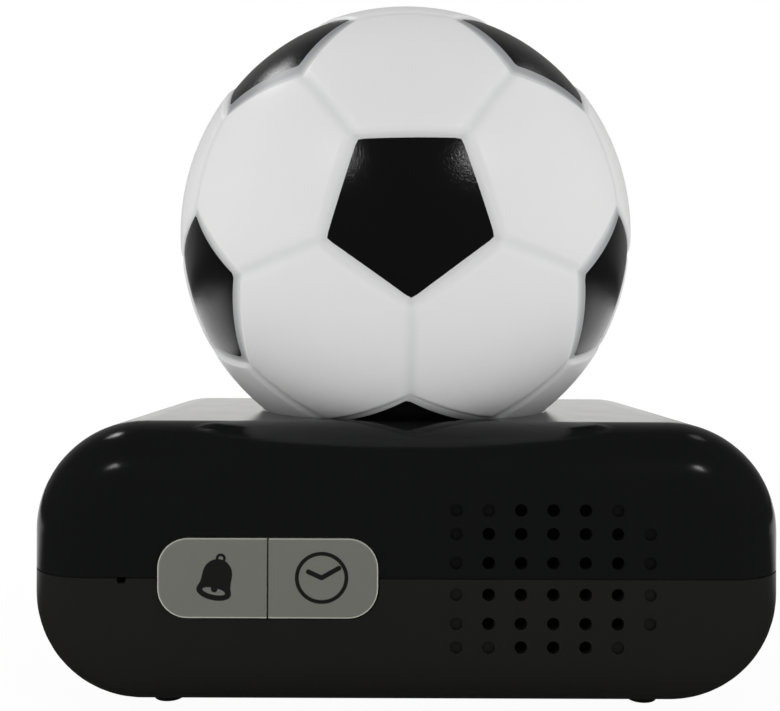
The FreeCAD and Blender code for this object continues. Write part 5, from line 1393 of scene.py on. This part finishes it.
@dataclass
class Studio:
    """White floor and backdrop, soft lamps and the camera; lengths in metres.

    Each span is where something starts and ends: on the floor in metres, and in the world
    along an axis of the unit sphere of directions.
    """

    image_width: int = 780
    image_height: int = 711
    focal_pixels: float = 956.0
    axis_pixel: Pair = (391.0, 335.6)
    camera_place: Triple = (-0.00295, -0.2095, 0.0685)
    camera_roll: float = 0.2
    sensor: float = 36.0
    nearest: float = 0.01
    floor_size: float = 12.0
    floor_white: float = 0.95
    shadow_share: float = 0.04
    shadow_span: Pair = (0.1, 0.35)
    dark_mirror: float = 0.02
    floor_mirror: float = 0.8
    floor_span: Pair = (0.0, 0.08)
    floor_lean: float = 0.3
    floor_sides: Pair = (0.24, 0.38)
    back_mirror: float = 0.8
    back_span: Pair = (0.0, 0.2)
    back_sides: Pair = (0.27, 0.38)
    back_top: Pair = (0.17, 0.26)
    least_deep: float = 0.01  # keeps the spread finite beside the object
    high_mirror: float = 0.18
    high_span: Pair = (0.3, 0.9)
    front_fill: float = 0.565
    back_fill: float = 1.17
    side_fill: float = 0.95
    side_span: Pair = (0.2, 1.0)
    high_dim: float = 0.45
    dim_span: Pair = (0.0, 0.7)
    warm: Triple = (1.0, 0.995, 0.985)
    white: Triple = (1.0, 1.0, 1.0)
    lamps: tuple[SoftBox, ...] = (
        SoftBox("front_left", -36.5, 33.0, 0.2, 0.06),
        SoftBox("front_right", 36.5, 32.5, 0.2, 0.055),
        SoftBox("back_left", -122.7, 49.0, 0.2, 0.08),
        SoftBox("back_right", 118.7, 49.5, 0.03, 0.08),
    )

    def build(self) -> None:
        """Make the floor, the world, the lamps and the camera."""
        self._floor()
        self._world()
        low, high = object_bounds()
        for lamp in self.lamps:
            lamp.build((low + high) / 2.0)
        self._camera()
        bpy.context.scene.view_settings.view_transform = "Standard"

    def _floor(self) -> None:
        """Lay a white floor that keeps a soft shadow near the object."""
        mesh = bpy.data.meshes.new("floor")
        half = self.floor_size / 2.0
        corners = [(-half, -half, 0.0), (half, -half, 0.0), (half, half, 0.0), (-half, half, 0.0)]
        mesh.from_pydata(corners, [], [(0, 1, 2, 3)])
        in_scene("floor", mesh)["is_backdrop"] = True
        made, tree = shader_tree("floor_white")
        paint = tree.node("ShaderNodeBsdfDiffuse", {}, {"Color": (*[self.floor_white] * 3, 1.0)})
        glow = tree.node("ShaderNodeEmission", {}, {"Color": (*self.white, 1.0)})
        here = tree.node("ShaderNodeTexCoord", output="Object")
        length = {"operation": "LENGTH"}
        distance = tree.node("ShaderNodeVectorMath", length, {0: here}, output="Value")
        shadow = self.shadow_share * (1.0 - distance.step(*self.shadow_span))
        inputs = {0: tree.in_sight() * (1.0 - shadow), 1: paint, 2: glow}
        plain = tree.node("ShaderNodeMixShader", {}, inputs)
        across, deep, _ = tree.axes(here)
        beside = (across.absolute() - self.floor_lean * deep).step(*self.floor_sides)
        behind = deep.step(*self.floor_span) * (1.0 - beside)
        level = self.dark_mirror + self.floor_mirror * behind
        mirrored = tree.node("ShaderNodeEmission", {}, {"Color": level})
        inputs = {0: tree.ray("Is Glossy Ray"), 1: plain, 2: mirrored}
        mixed = tree.node("ShaderNodeMixShader", {}, inputs)
        tree.node("ShaderNodeOutputMaterial", {}, {"Surface": mixed})
        mesh.materials.append(made)

    def _world(self) -> None:
        """Surround the object with white; mirrored, only a screen behind the object is bright."""
        world = bpy.data.worlds.new("backdrop")
        bpy.context.scene.world = world
        world.use_nodes = True
        world.node_tree.nodes.clear()
        tree = Tree(world.node_tree)
        across, deep, high = tree.axes(tree.node("ShaderNodeTexCoord", output="Generated"))
        sideways = across.absolute()
        spread = sideways / deep.most(self.least_deep)
        screen = deep.step(*self.back_span) * (1.0 - spread.step(*self.back_sides))
        screen = screen * (1.0 - high.step(*self.back_top))
        mirror = self.dark_mirror + self.back_mirror * screen
        mirror = mirror + self.high_mirror * deep.step(*self.high_span)
        front = self.front_fill - self.high_dim * high.step(*self.dim_span)
        fill = front + (self.back_fill - front) * deep.step(-1.0, 1.0)
        fill = fill + self.side_fill * sideways.step(*self.side_span)
        mirrored, seen = tree.ray("Is Glossy Ray"), tree.in_sight()
        other = mirrored * mirror + (1.0 - mirrored) * fill
        strength = seen + (1.0 - seen) * other
        colour = tree.blend(seen, self.warm, self.white)
        back = tree.node("ShaderNodeBackground", {}, {"Color": colour, "Strength": strength})
        tree.node("ShaderNodeOutputWorld", {}, {"Surface": back})

    def _camera(self) -> None:
        """Set the camera at its place, with the lens and shift of the wanted view."""
        lens = bpy.data.cameras.new("camera")
        lens.sensor_width = self.sensor
        lens.lens = self.focal_pixels * self.sensor / self.image_width
        lens.shift_x = (self.image_width / 2 - self.axis_pixel[0]) / self.image_width
        lens.shift_y = (self.axis_pixel[1] - self.image_height / 2) / self.image_width
        lens.clip_start = self.nearest
        camera = in_scene("camera", lens)
        level = Matrix.Rotation(math.pi / 2, 4, "X")
        roll = Matrix.Rotation(math.radians(self.camera_roll), 4, "Z")
        camera.matrix_world = Matrix.Translation(self.camera_place) @ level @ roll
        bpy.context.scene.camera = camera


# --- the whole clock ---


def main() -> None:
    """Build every sub-assembly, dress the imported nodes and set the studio."""
    logging.basicConfig(level=logging.INFO, format="%(name)s: %(message)s")
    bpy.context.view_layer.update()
    wardrobe = Wardrobe()
    for part in frame["record"]["subparts"]:
        wardrobe.dress(part["node"], part["material_slot"])
    for sub_assembly in (Football, KeySigns, Display, Screws, DoorGrip):
        sub_assembly(wardrobe).build()
    Studio().build()


if __name__ == "__main__":
    main()
